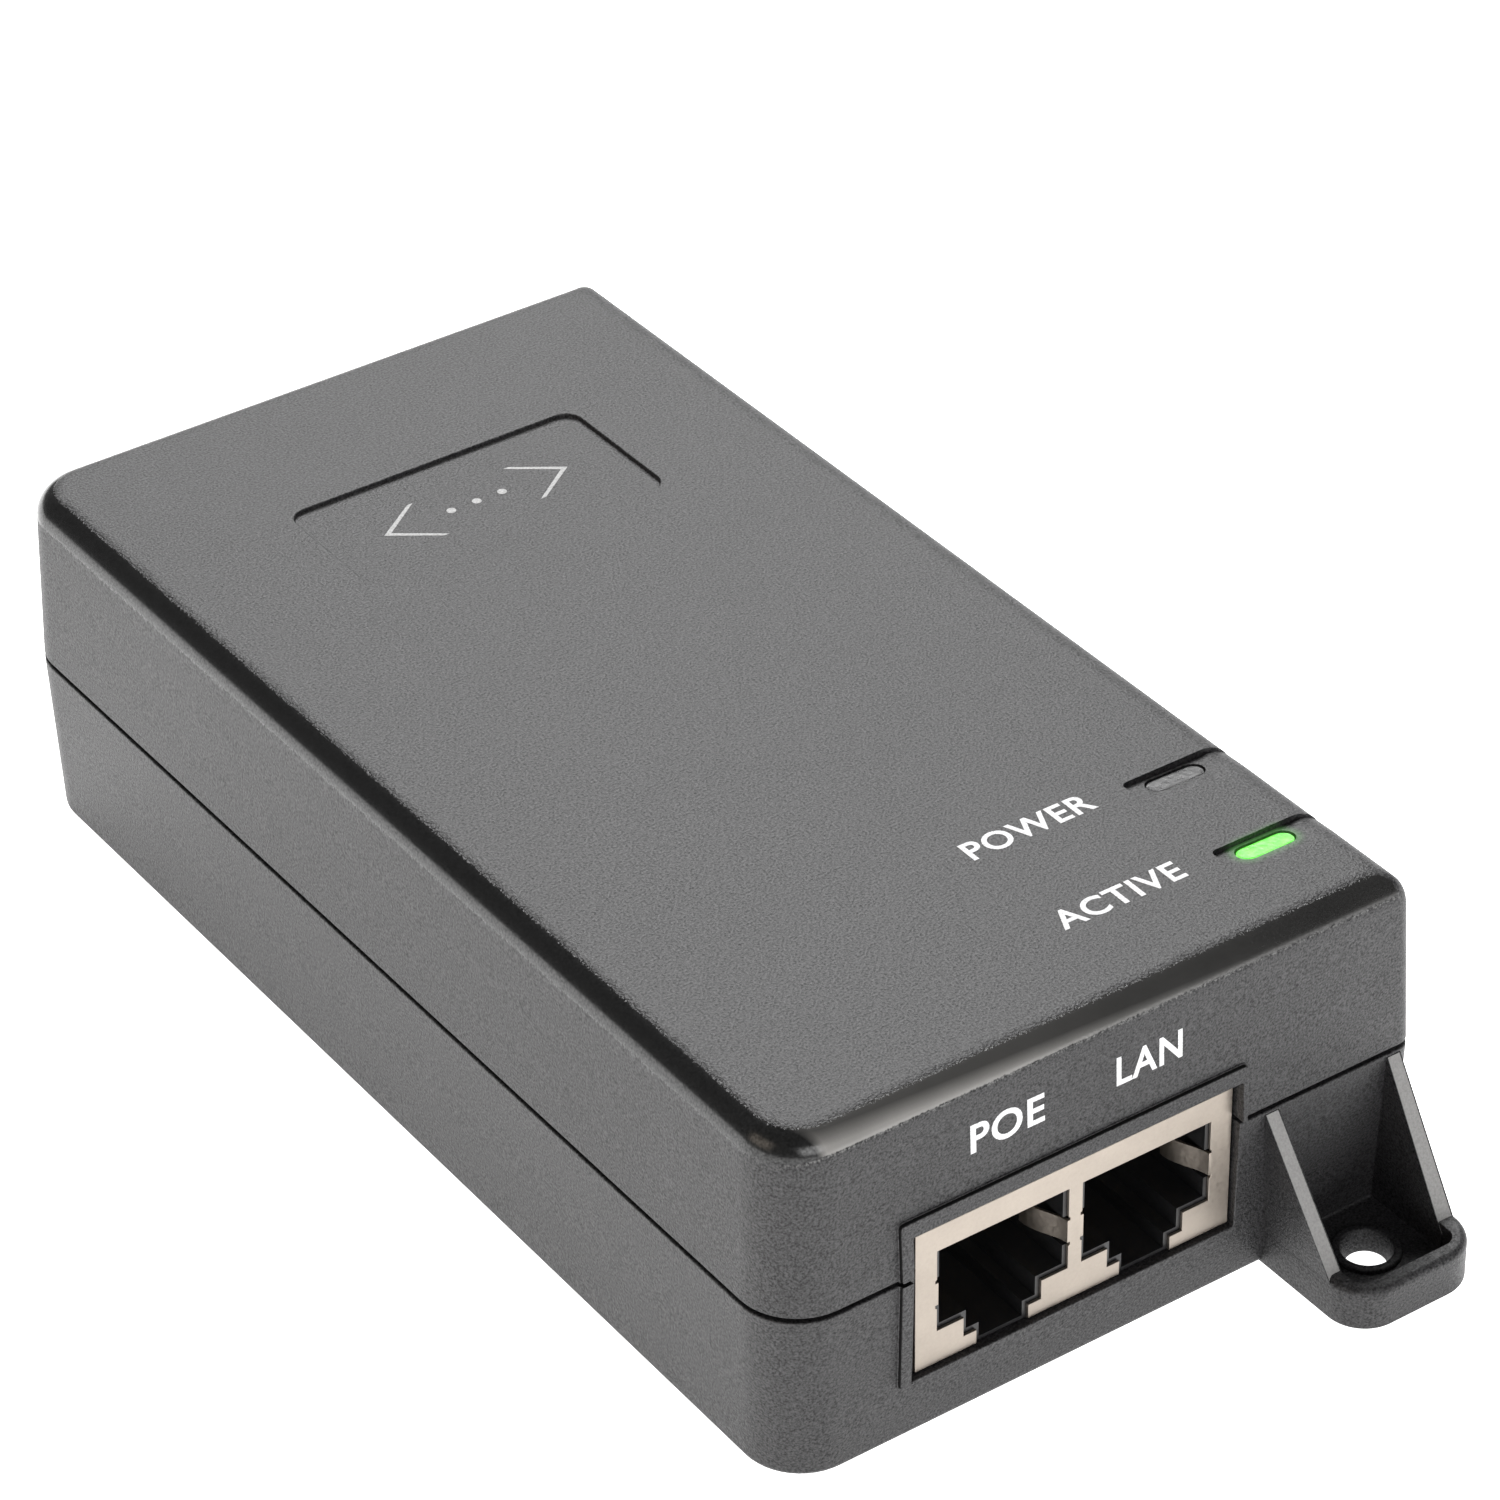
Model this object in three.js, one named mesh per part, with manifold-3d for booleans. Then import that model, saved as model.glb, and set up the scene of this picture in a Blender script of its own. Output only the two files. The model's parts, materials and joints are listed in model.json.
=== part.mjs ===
// A wall-mounted power-over-ethernet injector: a two-part plastic case with two
// screw ears, a shielded double RJ45 jack in the front wall, a mains inlet in the
// back wall, and the power supply board between them.
//
// Millimetres, +Z up. The origin is on the underside, at the middle of the
// bounding box. The jack faces -Y, the inlet faces +Y, and the ears are on the
// +X side.

import * as THREE from "three";
import { mergeVertices } from "three/addons/utils/BufferGeometryUtils.js";
import Module from "manifold-3d";

const wasm = await Module();
wasm.setup();

// ---- Driving dimensions ----

// Case
const CASE_WIDTH = 61.8;
const CASE_LENGTH = 116.4;
const CASE_HEIGHT = 32.8;
const WALL = 2;
const PARTING_Z = 16.15;
const PARTING_GAP = 0.4;
const CORNER_RADIUS = { left: 5.3, right: 1.5 };
// How far each side wall leans in from the parting line to the top, and to the bottom
const TOP_LEAN = { left: 0.6, right: 0.42, front: 0.6, back: 0.05 };
const BOTTOM_LEAN = { left: 0.44, right: 0.44, front: 0.44, back: 0.44 };
const TOP_FILLET = 2.6;
const RIGHT_FILLET = 3.4; // the same edge along the right side
const BOTTOM_FILLET = 0.65;
const TONGUE_HEIGHT = 1.5;
const TONGUE_INSET = 1.25;
const REBATE_INSET = 1.05;

// Recessed label field in the cover
const LABEL = { x: 0.6, y: 31.25, width: 29.2, length: 15.2, radius: 1.6, depth: 0.4 };

// Indicator notches: the step faces the front, and the floor rises from it
const NOTCH_STEPS_Y = [-34.95, -46.3];
const NOTCH_START_X = 19;
const NOTCH_RUN = 4.8;
const NOTCH_DEPTH = 0.45;
const NOTCH_EDGE_DEPTH = 0.6; // where the cover's edge begins to round
const NOTCH_END = 25; // how many degrees above level the notch runs out on the rounding
const NOTCH_LIFT = 0.08; // the ramp's front end clears the surface by this much
const PIPE = { x: 23.4, length: 5.4, width: 1.9, ahead: 1.45, slot_gap: 0.15 };

// Double jack
const JACK_X = -2.45;
const JACK_WIDTH = 30.8;
const JACK_BOTTOM_Z = 5.6;
const JACK_TOP_Z = 19.2;
const JACK_SETBACK = 0.8;
const JACK_DEPTH = 20;
const SHEET = 0.25;
const PORT_PITCH = 13.97;
const PORTS = { poe: JACK_X - PORT_PITCH / 2, lan: JACK_X + PORT_PITCH / 2 };
// The jack's opening narrows to its throat behind the wall's face
const OPENING = { x0: -18.75, x1: 13.15, z0: 5.45, z1: 20.2, depth: 0.6 };
const THROAT = { x0: -18.05, z1: 19.4 };
const FRAME = { x0: -19.85, x1: 13.6, z0: 5.4, z1: 21.7, raise: 0.4, root: 0.9 };

// Mains inlet
const INLET = { z: 16.3, width: 24, height: 16.6, chamfer: 4.6, wall: 1.7, depth: 16 };

// Screw ears
const EAR = {
  x0: 16.35,
  x1: 29.7,
  reach: 11.4,
  rim_z: 3.9,
  floor_z: 1.45,
  collar_z: 1.9,
  radius: { left: 3.5, right: 3.9 },
  pocket: { x0: 17.75, x1: 27.85, wall: 1.5, radius: 1.2 },
  hole: { x: 22.9, inset: 6.65, top_radius: 2.2, bottom_radius: 1.75 },
};
// The ears' ribs splay: the sides of each are given at the rim and at the rib's top
const RIB_TOP_Z = 15.65;
const RIB_END = 3.9; // from the ear's tip
const RIBS = [
  { foot: [16.35, 17.75], top: [15.65, 17] },
  { foot: [27.75, 29.35], top: [28.1, 29.45] },
];

// Board
const BOARD = { x: 28.1, y: 55.2, z0: 3.6, z1: 5.2, notch: 8.4 };
const SCREW_POSTS = [
  [-25.6, -52.8],
  [25.6, -52.8],
  [25.6, 52.8],
  [-25.6, 52.8],
];

const FRONT_Y = -CASE_LENGTH / 2;
const BACK_Y = CASE_LENGTH / 2;
const JACK_FACE_Y = FRONT_Y + JACK_SETBACK;

// ---- Geometry helpers ----

// A manifold solid from a closed three.js geometry.
function solid(geometry) {
  const bare = geometry.clone();
  bare.deleteAttribute("normal");
  bare.deleteAttribute("uv");
  const merged = mergeVertices(bare, 1e-4);
  const vertProperties = merged.attributes.position.array;
  const triVerts = new Uint32Array(merged.index.array);
  return new wasm.Manifold(new wasm.Mesh({ numProp: 3, vertProperties, triVerts }));
}

// The three.js geometry of a manifold solid.
function geometryOf(made) {
  const mesh = made.getMesh();
  const count = mesh.vertProperties.length / mesh.numProp;
  const positions = new Float32Array(count * 3);
  for (let i = 0; i < count; i++) {
    const from = i * mesh.numProp;
    positions.set(mesh.vertProperties.subarray(from, from + 3), i * 3);
  }
  const geometry = new THREE.BufferGeometry();
  geometry.setAttribute("position", new THREE.BufferAttribute(positions, 3));
  geometry.setIndex(new THREE.BufferAttribute(new Uint32Array(mesh.triVerts), 1));
  return geometry.toNonIndexed();
}

function join(solids) {
  return solids.reduce((sum, one) => sum.add(one));
}

function cut(body, cutters) {
  return cutters.reduce((rest, one) => rest.subtract(one), body);
}

function box(x0, x1, y0, y1, z0, z1) {
  const geometry = new THREE.BoxGeometry(x1 - x0, y1 - y0, z1 - z0);
  return solid(geometry.translate((x0 + x1) / 2, (y0 + y1) / 2, (z0 + z1) / 2));
}

// A box given by its middle in plan, its size and the height it stands at.
function block(x, y, z0, width, length, height) {
  const halfX = width / 2;
  const halfY = length / 2;
  return box(x - halfX, x + halfX, y - halfY, y + halfY, z0, z0 + height);
}

const TURNS = {
  // a shape in x and y, extruded up
  z: new THREE.Matrix4(),
  // a shape in x and z, extruded towards -Y from its place
  y: new THREE.Matrix4().makeRotationX(Math.PI / 2),
  // a shape in y and z, extruded towards +X
  x: new THREE.Matrix4().makeBasis(
    new THREE.Vector3(0, 1, 0),
    new THREE.Vector3(0, 0, 1),
    new THREE.Vector3(1, 0, 0),
  ),
};

// A flat outline extruded along a row axis between two coordinates.
function extrude(shape, axis, from, to, segments = 2) {
  const options = { depth: to - from, bevelEnabled: false, curveSegments: segments };
  const geometry = new THREE.ExtrudeGeometry(shape, options).applyMatrix4(TURNS[axis]);
  const offset = axis === "y" ? to : from;
  const move = { x: [offset, 0, 0], y: [0, offset, 0], z: [0, 0, offset] }[axis];
  return solid(geometry.translate(...move));
}

function outline(points) {
  return new THREE.Shape(points.map(([u, v]) => new THREE.Vector2(u, v)));
}

function roundedRectangle(u0, u1, v0, v1, radius) {
  const shape = new THREE.Shape();
  const quarter = Math.PI / 2;
  shape.absarc(u1 - radius, v0 + radius, radius, -quarter, 0);
  shape.absarc(u1 - radius, v1 - radius, radius, 0, quarter);
  shape.absarc(u0 + radius, v1 - radius, radius, quarter, 2 * quarter);
  shape.absarc(u0 + radius, v0 + radius, radius, 2 * quarter, 3 * quarter);
  shape.closePath();
  return shape;
}

// A slot's outline, along X: two half circles joined by straight sides.
function stadium(x, y, length, width) {
  const radius = width / 2;
  const reach = length / 2 - radius;
  const quarter = Math.PI / 2;
  const shape = new THREE.Shape();
  shape.absarc(x + reach, y, radius, -quarter, quarter);
  shape.absarc(x - reach, y, radius, quarter, 3 * quarter);
  shape.closePath();
  return shape;
}

// A round bar along an axis: u and v are its centre in the other two coordinates.
function rod(axis, u, v, radius, from, to, segments = 6) {
  const shape = new THREE.Shape().absarc(u, v, radius, 0, 2 * Math.PI);
  return extrude(shape, axis, from, to, segments);
}

// A solid through rings of points that run anticlockwise seen from the last ring. All
// of a ring has to be in sight of its first point.
function loft(rings) {
  const count = rings[0].length;
  const index = [];
  for (let k = 0; k < rings.length - 1; k++) {
    for (let i = 0; i < count; i++) {
      const a = k * count + i;
      const b = k * count + ((i + 1) % count);
      index.push(a, b, b + count, a, b + count, a + count);
    }
  }
  const last = (rings.length - 1) * count;
  for (let i = 1; i < count - 1; i++) {
    index.push(0, i + 1, i, last, last + i, last + i + 1);
  }
  const geometry = new THREE.BufferGeometry();
  const positions = new Float32Array(rings.flat(2));
  geometry.setAttribute("position", new THREE.BufferAttribute(positions, 3));
  geometry.setIndex(index);
  return solid(geometry);
}

// How far a rounded top edge has drawn in at a height.
function roundedIn(radius, z) {
  const rise = Math.max(z - (CASE_HEIGHT - radius), 0);
  return radius - Math.sqrt(Math.max(radius * radius - rise * rise, 0));
}

// How far each side wall has leaned in at a height. On the right that includes the
// rounding that its top edge has over the other sides'.
function leanAt(z) {
  const above = z >= PARTING_Z;
  const full = above ? TOP_LEAN : BOTTOM_LEAN;
  const wallTop = CASE_HEIGHT - TOP_FILLET;
  const share = above ? (z - PARTING_Z) / (wallTop - PARTING_Z) : (PARTING_Z - z) / PARTING_Z;
  const lean = (side) => full[side] * Math.min(share, 1);
  const right = lean("right") + roundedIn(RIGHT_FILLET, z) - roundedIn(TOP_FILLET, z);
  return { left: lean("left"), right, front: lean("front"), back: lean("back") };
}

// One ring of the case in plan at a height, drawn in from its side walls by an inset.
function caseRing(inset, z, steps = 5) {
  const lean = leanAt(z);
  const radiusOf = (side) => Math.max(CORNER_RADIUS[side] - inset, 0.8);
  const [left, right] = [radiusOf("left"), radiusOf("right")];
  const x0 = inset + lean.left - CASE_WIDTH / 2;
  const x1 = CASE_WIDTH / 2 - inset - lean.right;
  const y0 = inset + lean.front - CASE_LENGTH / 2;
  const y1 = CASE_LENGTH / 2 - inset - lean.back;
  const corners = [
    [x1 - right, y0 + right, right, -90],
    [x1 - right, y1 - right, right, 0],
    [x0 + left, y1 - left, left, 90],
    [x0 + left, y0 + left, left, 180],
  ];
  return corners.flatMap(([x, y, radius, start]) =>
    Array.from({ length: steps + 1 }, (_, i) => {
      const angle = THREE.MathUtils.degToRad(start + (90 * i) / steps);
      return [x + radius * Math.cos(angle), y + radius * Math.sin(angle), z];
    }),
  );
}

// ---- Case ----

function coverOutside() {
  const steps = 6;
  const rings = [caseRing(0, PARTING_Z + PARTING_GAP / 2)];
  for (let i = 0; i <= steps; i++) {
    const angle = ((Math.PI / 2) * i) / steps;
    const z = CASE_HEIGHT - RIGHT_FILLET * (1 - Math.sin(angle));
    rings.push(caseRing(roundedIn(TOP_FILLET, z), z));
  }
  return loft(rings);
}

function coverInside() {
  const top = CASE_HEIGHT - WALL;
  return loft([
    caseRing(WALL, PARTING_Z - 1, 3),
    caseRing(WALL, top - 1, 3),
    caseRing(WALL + 1, top, 3),
  ]);
}

function coverRebate() {
  const low = PARTING_Z - 1;
  const high = PARTING_Z + TONGUE_HEIGHT + 0.4;
  return loft([caseRing(REBATE_INSET, low, 3), caseRing(REBATE_INSET, high, 3)]);
}

// The ramped notch cut from a step towards the front, over the cover's right edge,
// where it gets shallower until it runs out.
function notchCutter(stepY) {
  const side = CASE_WIDTH / 2 - TOP_LEAN.right;
  const bend = side - RIGHT_FILLET;
  const steps = 5;
  const profile = (drop, edgeDrop) => {
    const points = [
      [NOTCH_START_X, CASE_HEIGHT + 2],
      [NOTCH_START_X, CASE_HEIGHT - drop],
    ];
    for (let i = 0; i <= steps; i++) {
      const share = 1 - i / steps;
      const angle = THREE.MathUtils.degToRad(NOTCH_END + (90 - NOTCH_END) * share);
      const radius = RIGHT_FILLET + NOTCH_LIFT - (edgeDrop + NOTCH_LIFT) * share;
      const x = bend + radius * Math.cos(angle);
      points.push([x, CASE_HEIGHT - RIGHT_FILLET + radius * Math.sin(angle)]);
    }
    points.push([side + 2, CASE_HEIGHT - RIGHT_FILLET], [side + 2, CASE_HEIGHT + 2]);
    return points;
  };
  const ring = (points, y) => points.map(([x, z]) => [x, y, z]);
  const front = ring(profile(-NOTCH_LIFT, -NOTCH_LIFT).reverse(), stepY - NOTCH_RUN);
  const back = ring(profile(NOTCH_DEPTH, NOTCH_EDGE_DEPTH).reverse(), stepY);
  return loft([front, back]);
}

function labelRecess() {
  const { x, y, width, length, radius, depth } = LABEL;
  const [halfX, halfY] = [width / 2, length / 2];
  const shape = roundedRectangle(x - halfX, x + halfX, y - halfY, y + halfY, radius);
  return extrude(shape, "z", CASE_HEIGHT - depth, CASE_HEIGHT + 1, 3);
}

// The stepped opening for the jack in the front wall.
function jackOpening() {
  const { x0, x1, z0, z1, depth } = OPENING;
  const mouth = box(x0, x1, FRONT_Y - 1, FRONT_Y + depth, z0, z1);
  return mouth.add(box(THROAT.x0, x1, FRONT_Y, FRONT_Y + WALL + 2, z0, THROAT.z1));
}

// A raised block on the front wall, its face parallel to the wall's: a part of the
// frame round the jack's opening.
function framePart(x0, x1, z0, z1) {
  const face = (z) => FRONT_Y + leanAt(z).front - FRAME.raise;
  const root = FRONT_Y + FRAME.root;
  const side = outline([
    [face(z0), z0],
    [root, z0],
    [root, z1],
    [face(z1), z1],
  ]);
  return extrude(side, "x", x0, x1);
}

// The inlet's outline: its two upper corners, on the earth pin's side, are cut off.
function inletOutline(grow) {
  const x = INLET.width / 2 + grow;
  const z = INLET.height / 2 + grow;
  const c = INLET.chamfer + grow * 0.6;
  const points = [
    [-x, -z],
    [x, -z],
    [x, z - c],
    [x - c, z],
    [c - x, z],
    [-x, z - c],
  ];
  return outline(points.map(([u, v]) => [u, v + INLET.z]));
}

function inletOpening() {
  const grow = INLET.wall + 0.2;
  return extrude(inletOutline(grow), "y", BACK_Y - WALL - 2, BACK_Y + 1);
}

function pipePlace(stepY) {
  return { x: PIPE.x, y: stepY - PIPE.ahead };
}

function pipeSlot(stepY) {
  const { x, y } = pipePlace(stepY);
  const gap = 2 * PIPE.slot_gap;
  const shape = stadium(x, y, PIPE.length + gap, PIPE.width + gap);
  return extrude(shape, "z", CASE_HEIGHT - WALL - 1, CASE_HEIGHT + 1, 3);
}

const POST = { radius: 2.7, pilot: 1.6, foot_radius: 3.6, foot_z: 8, head_z: 3, head_radius: 3 };

function topCover() {
  const shell = cut(coverOutside(), [coverInside(), coverRebate()]);
  const posts = SCREW_POSTS.map(([x, y]) => {
    const post = rod("z", x, y, POST.radius, POST.foot_z + 0.3, CASE_HEIGHT - WALL + 0.5);
    return post.subtract(rod("z", x, y, POST.pilot, 0, 18));
  });
  const frame = framePart(FRAME.x0, FRAME.x1, PARTING_Z + PARTING_GAP / 2, FRAME.z1);
  return cut(join([shell, frame, ...posts]), [
    labelRecess(),
    jackOpening(),
    inletOpening(),
    ...NOTCH_STEPS_Y.map(notchCutter),
    ...NOTCH_STEPS_Y.map(pipeSlot),
  ]);
}

function bottomOutside() {
  const steps = 3;
  const rings = [];
  for (let i = 0; i <= steps; i++) {
    const angle = ((Math.PI / 2) * i) / steps;
    const inset = BOTTOM_FILLET * (1 - Math.sin(angle));
    rings.push(caseRing(inset, BOTTOM_FILLET * (1 - Math.cos(angle))));
  }
  rings.push(caseRing(0, PARTING_Z - PARTING_GAP / 2));
  return loft(rings);
}

function bottomInside() {
  return loft([
    caseRing(WALL, WALL, 3),
    caseRing(WALL, PARTING_Z + TONGUE_HEIGHT + 1, 3),
  ]);
}

function tongue() {
  const low = PARTING_Z - 1;
  return loft([
    caseRing(TONGUE_INSET, low, 3),
    caseRing(TONGUE_INSET, PARTING_Z + TONGUE_HEIGHT, 3),
  ]);
}

// A cone frustum, or a tapered bore's cutter, standing on a height.
function taper(x, y, lowRadius, highRadius, z0, z1) {
  const geometry = new THREE.CylinderGeometry(highRadius, lowRadius, z1 - z0, 24);
  geometry.rotateX(Math.PI / 2).translate(x, y, (z0 + z1) / 2);
  return solid(geometry);
}

// One of the ear's ribs: a sloping web whose two sides lean.
function earRib({ foot, top }, tip) {
  const root = FRONT_Y + 1.5;
  const profile = [
    [root, 0.5],
    [root, RIB_TOP_Z],
    [FRONT_Y, RIB_TOP_Z],
    [tip + RIB_END, EAR.rim_z],
    [tip + RIB_END, 0.5],
  ];
  const sideAt = (side, z) => {
    const share = (z - EAR.rim_z) / (RIB_TOP_Z - EAR.rim_z);
    return foot[side] + (top[side] - foot[side]) * share;
  };
  const ring = (side) => profile.map(([y, z]) => [sideAt(side, z), y, z]);
  return loft([ring(0), ring(1)]);
}

// The ear at the front: a plate with a raised rim, two sloping ribs and a tapered
// screw hole in a low collar.
function ear() {
  const { x0, x1, radius, pocket, hole } = EAR;
  const { left, right } = radius;
  const tip = FRONT_Y - EAR.reach;
  const root = FRONT_Y + 1.5;
  const plate = new THREE.Shape();
  plate.moveTo(x0, root);
  plate.lineTo(x0, tip + left);
  plate.absarc(x0 + left, tip + left, left, Math.PI, 1.5 * Math.PI);
  plate.absarc(x1 - right, tip + right, right, 1.5 * Math.PI, 2 * Math.PI);
  plate.lineTo(x1, root);
  const corner = pocket.radius;
  const pocketTip = tip + pocket.wall;
  const hollow = new THREE.Shape();
  hollow.moveTo(pocket.x0, FRONT_Y + BOTTOM_LEAN.front);
  hollow.lineTo(pocket.x0, pocketTip + corner);
  hollow.absarc(pocket.x0 + corner, pocketTip + corner, corner, Math.PI, 1.5 * Math.PI);
  hollow.absarc(pocket.x1 - corner, pocketTip + corner, corner, 1.5 * Math.PI, 2 * Math.PI);
  hollow.lineTo(pocket.x1, FRONT_Y + BOTTOM_LEAN.front);
  const holeY = tip + hole.inset;
  const base = extrude(plate, "z", 0, EAR.rim_z, 4);
  const emptied = base.subtract(extrude(hollow, "z", EAR.floor_z, EAR.rim_z + 1, 3));
  const collar = rod("z", hole.x, holeY, hole.top_radius + 0.7, 1, EAR.collar_z, 6);
  const ribs = RIBS.map((rib) => earRib(rib, tip));
  const slope = (hole.top_radius - hole.bottom_radius) / EAR.collar_z;
  const beyond = 0.5;
  const bore = taper(
    hole.x,
    holeY,
    hole.bottom_radius - slope * beyond,
    hole.top_radius + slope * beyond,
    -beyond,
    EAR.collar_z + beyond,
  );
  return join([emptied, collar, ...ribs]).subtract(bore);
}

function bottomCase() {
  const frontEar = ear();
  const backEar = frontEar.mirror([0, 1, 0]);
  const frameTop = PARTING_Z - PARTING_GAP / 2;
  const frame = framePart(FRAME.x0, OPENING.x0 + 0.1, FRAME.z0, frameTop);
  const outside = join([bottomOutside(), tongue(), frontEar, backEar, frame]);
  const shell = outside.subtract(bottomInside());
  const posts = SCREW_POSTS.map(([x, y]) => rod("z", x, y, POST.foot_radius, 0.5, POST.foot_z));
  const seats = [-1, 1].flatMap((side) =>
    [-25, 0, 25].map((y) => block(side * 27.6, y, 1, 3.4, 5, BOARD.z0 - 1)),
  );
  const bores = SCREW_POSTS.flatMap(([x, y]) => [
    rod("z", x, y, POST.pilot, 0, POST.foot_z + 1),
    rod("z", x, y, POST.head_radius, -1, POST.head_z),
  ]);
  const labelField = box(-26.2, 12.2, -27.2, 27.2, -1, 0.4);
  const emptied = join([shell, ...posts, ...seats]);
  return cut(emptied, [...bores, labelField, jackOpening(), inletOpening()]);
}

// A pan-head screw, driven up from the underside, with a cross recess.
function caseScrew([x, y]) {
  const head = rod("z", x, y, POST.head_radius - 0.3, POST.head_z - 1.8, POST.head_z - 0.02);
  const shank = rod("z", x, y, POST.pilot - 0.3, POST.head_z - 0.1, 16);
  const recess = [
    block(x, y, 0, 2.6, 0.6, POST.head_z - 0.9),
    block(x, y, 0, 0.6, 2.6, POST.head_z - 0.9),
  ];
  return cut(head.add(shank), recess);
}

function lightPipe(stepY) {
  const { x, y } = pipePlace(stepY);
  const foot = BOARD.z1 + 2.3;
  const stem = extrude(stadium(x, y, PIPE.length, PIPE.width), "z", foot, CASE_HEIGHT, 3);
  const flangeZ = CASE_HEIGHT - WALL - 1.1;
  const rim = stadium(x, y, PIPE.length + 1.6, PIPE.width + 1.6);
  const flange = extrude(rim, "z", flangeZ, flangeZ + 0.8);
  const lowered = notchCutter(stepY).translate([0, 0, -0.08]);
  return stem.add(flange).subtract(lowered);
}

function led(stepY) {
  const { x, y } = pipePlace(stepY);
  const base = block(x, y, BOARD.z1, 3.5, 2.8, 1);
  return base.add(rod("z", x, y, 1.2, BOARD.z1 + 0.9, BOARD.z1 + 1.9, 4));
}

// ---- Double jack ----

const WINDOW = { half: 6.32, z0: 8.85, z1: 16.75, step1: 3.75, step1_z: 7, step2: 2.5 };
const CAVITY = { half: 5.95, z0: 9.25, z1: 16.6, step1: 3.35, step1_z: 7.4, step2: 2.1, step2_z: 5.95 };
const CAVITY_BACK_Y = JACK_FACE_Y + 12;
const FINGER = { z0: 11.4, z1: 13.6, length: 4, tip: 1.1 };

// A stepped keyhole: the plug's body above, its latch in two steps below.
function keyhole(x, hole, bottom) {
  const right = [
    [hole.step2, bottom],
    [hole.step2, hole.step1_z],
    [hole.step1, hole.step1_z],
    [hole.step1, hole.z0],
    [hole.half, hole.z0],
    [hole.half, hole.z1],
  ];
  const left = right.map(([u, v]) => [-u, v]).reverse();
  return outline([...right, ...left].map(([u, v]) => [x + u, v]));
}

// A finger of the shield, folded back into a port from its window's edge.
function springFinger(x, side) {
  const root = x + side * WINDOW.half;
  const tip = root - side * FINGER.tip;
  const points = [
    [root + side * SHEET, JACK_FACE_Y],
    [root, JACK_FACE_Y],
    [tip, JACK_FACE_Y + FINGER.length],
    [tip + side * SHEET, JACK_FACE_Y + FINGER.length],
  ];
  return extrude(outline(side > 0 ? points.reverse() : points), "z", FINGER.z0, FINGER.z1);
}

function jackShield() {
  const half = JACK_WIDTH / 2;
  const [x0, x1] = [JACK_X - half, JACK_X + half];
  const back = JACK_FACE_Y + JACK_DEPTH;
  const outside = box(x0, x1, JACK_FACE_Y, back, JACK_BOTTOM_Z, JACK_TOP_Z);
  const inside = box(
    x0 + SHEET,
    x1 - SHEET,
    JACK_FACE_Y + SHEET,
    back - SHEET,
    JACK_BOTTOM_Z - 1,
    JACK_TOP_Z - SHEET,
  );
  const windows = Object.values(PORTS).map((x) =>
    extrude(keyhole(x, WINDOW, JACK_BOTTOM_Z - 1), "y", JACK_FACE_Y - 1, JACK_FACE_Y + 1),
  );
  const fingers = Object.values(PORTS).flatMap((x) => [springFinger(x, -1), springFinger(x, 1)]);
  return join([cut(outside, [inside, ...windows]), ...fingers]);
}

const CARRIER = { half: 4.4, plate_z: 17.4, top_z: 18.2, front: 2.2, leg_y: CAVITY_BACK_Y + 0.9 };

function jackHousing() {
  const gap = SHEET + 0.05;
  const half = JACK_WIDTH / 2 - gap;
  const front = JACK_FACE_Y + gap;
  const back = JACK_FACE_Y + JACK_DEPTH - gap;
  const [x0, x1] = [JACK_X - half, JACK_X + half];
  const body = box(x0, x1, front, back, JACK_BOTTOM_Z, JACK_TOP_Z - gap);
  const cutters = Object.values(PORTS).flatMap((x) => {
    const slotHalf = CARRIER.half + 0.2;
    const [slotFront, slotTop] = [JACK_FACE_Y + 1.7, CARRIER.top_z + 0.2];
    const reliefHalf = WINDOW.half + 0.5;
    return [
      extrude(keyhole(x, CAVITY, CAVITY.step2_z), "y", front - 1, CAVITY_BACK_Y),
      box(x - slotHalf, x + slotHalf, slotFront, CARRIER.leg_y + 1.2, CAVITY.z1 - 1, slotTop),
      box(x - slotHalf, x + slotHalf, CARRIER.leg_y - 0.2, CARRIER.leg_y + 1.2, 0, slotTop),
      box(
        x - reliefHalf,
        x + reliefHalf,
        front - 1,
        JACK_FACE_Y + FINGER.length + 0.6,
        FINGER.z0 - 0.3,
        FINGER.z1 + 0.3,
      ),
    ];
  });
  return cut(body, cutters);
}

const CONTACT = {
  pitch: 1.02,
  width: 0.45,
  thickness: 0.3,
  pivot_y: JACK_FACE_Y + 2.9,
  pivot_z: 16.75,
  length: 8.4,
  droop: 15.5,
};

function contactX(port, number) {
  return PORTS[port] + (number - 4.5) * CONTACT.pitch;
}

// The insert that holds a port's contacts: a plate over them, a front lip, a leg
// behind the cavity and the solder tails under it.
function contactCarrier(port) {
  const x = PORTS[port];
  const { half, plate_z: plateZ, top_z: topZ, leg_y: legY } = CARRIER;
  const front = JACK_FACE_Y + CARRIER.front;
  const profile = outline([
    [front, topZ],
    [front, CONTACT.pivot_z - 0.25],
    [CONTACT.pivot_y - 0.45, CONTACT.pivot_z - 0.25],
    [CONTACT.pivot_y - 0.45, plateZ],
    [legY, plateZ],
    [legY, JACK_BOTTOM_Z + 0.5],
    [legY + 1, JACK_BOTTOM_Z + 0.5],
    [legY + 1, topZ],
  ]);
  const tails = [1, 2, 3, 4, 5, 6, 7, 8].map((number) => {
    const tailY = legY + 0.5;
    const halfWidth = CONTACT.width / 2;
    const at = contactX(port, number);
    const foot = BOARD.z0 - 0.8;
    return box(at - halfWidth, at + halfWidth, tailY - 0.2, tailY + 0.2, foot, JACK_BOTTOM_Z + 1);
  });
  return join([extrude(profile, "x", x - half, x + half), ...tails]);
}

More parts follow.
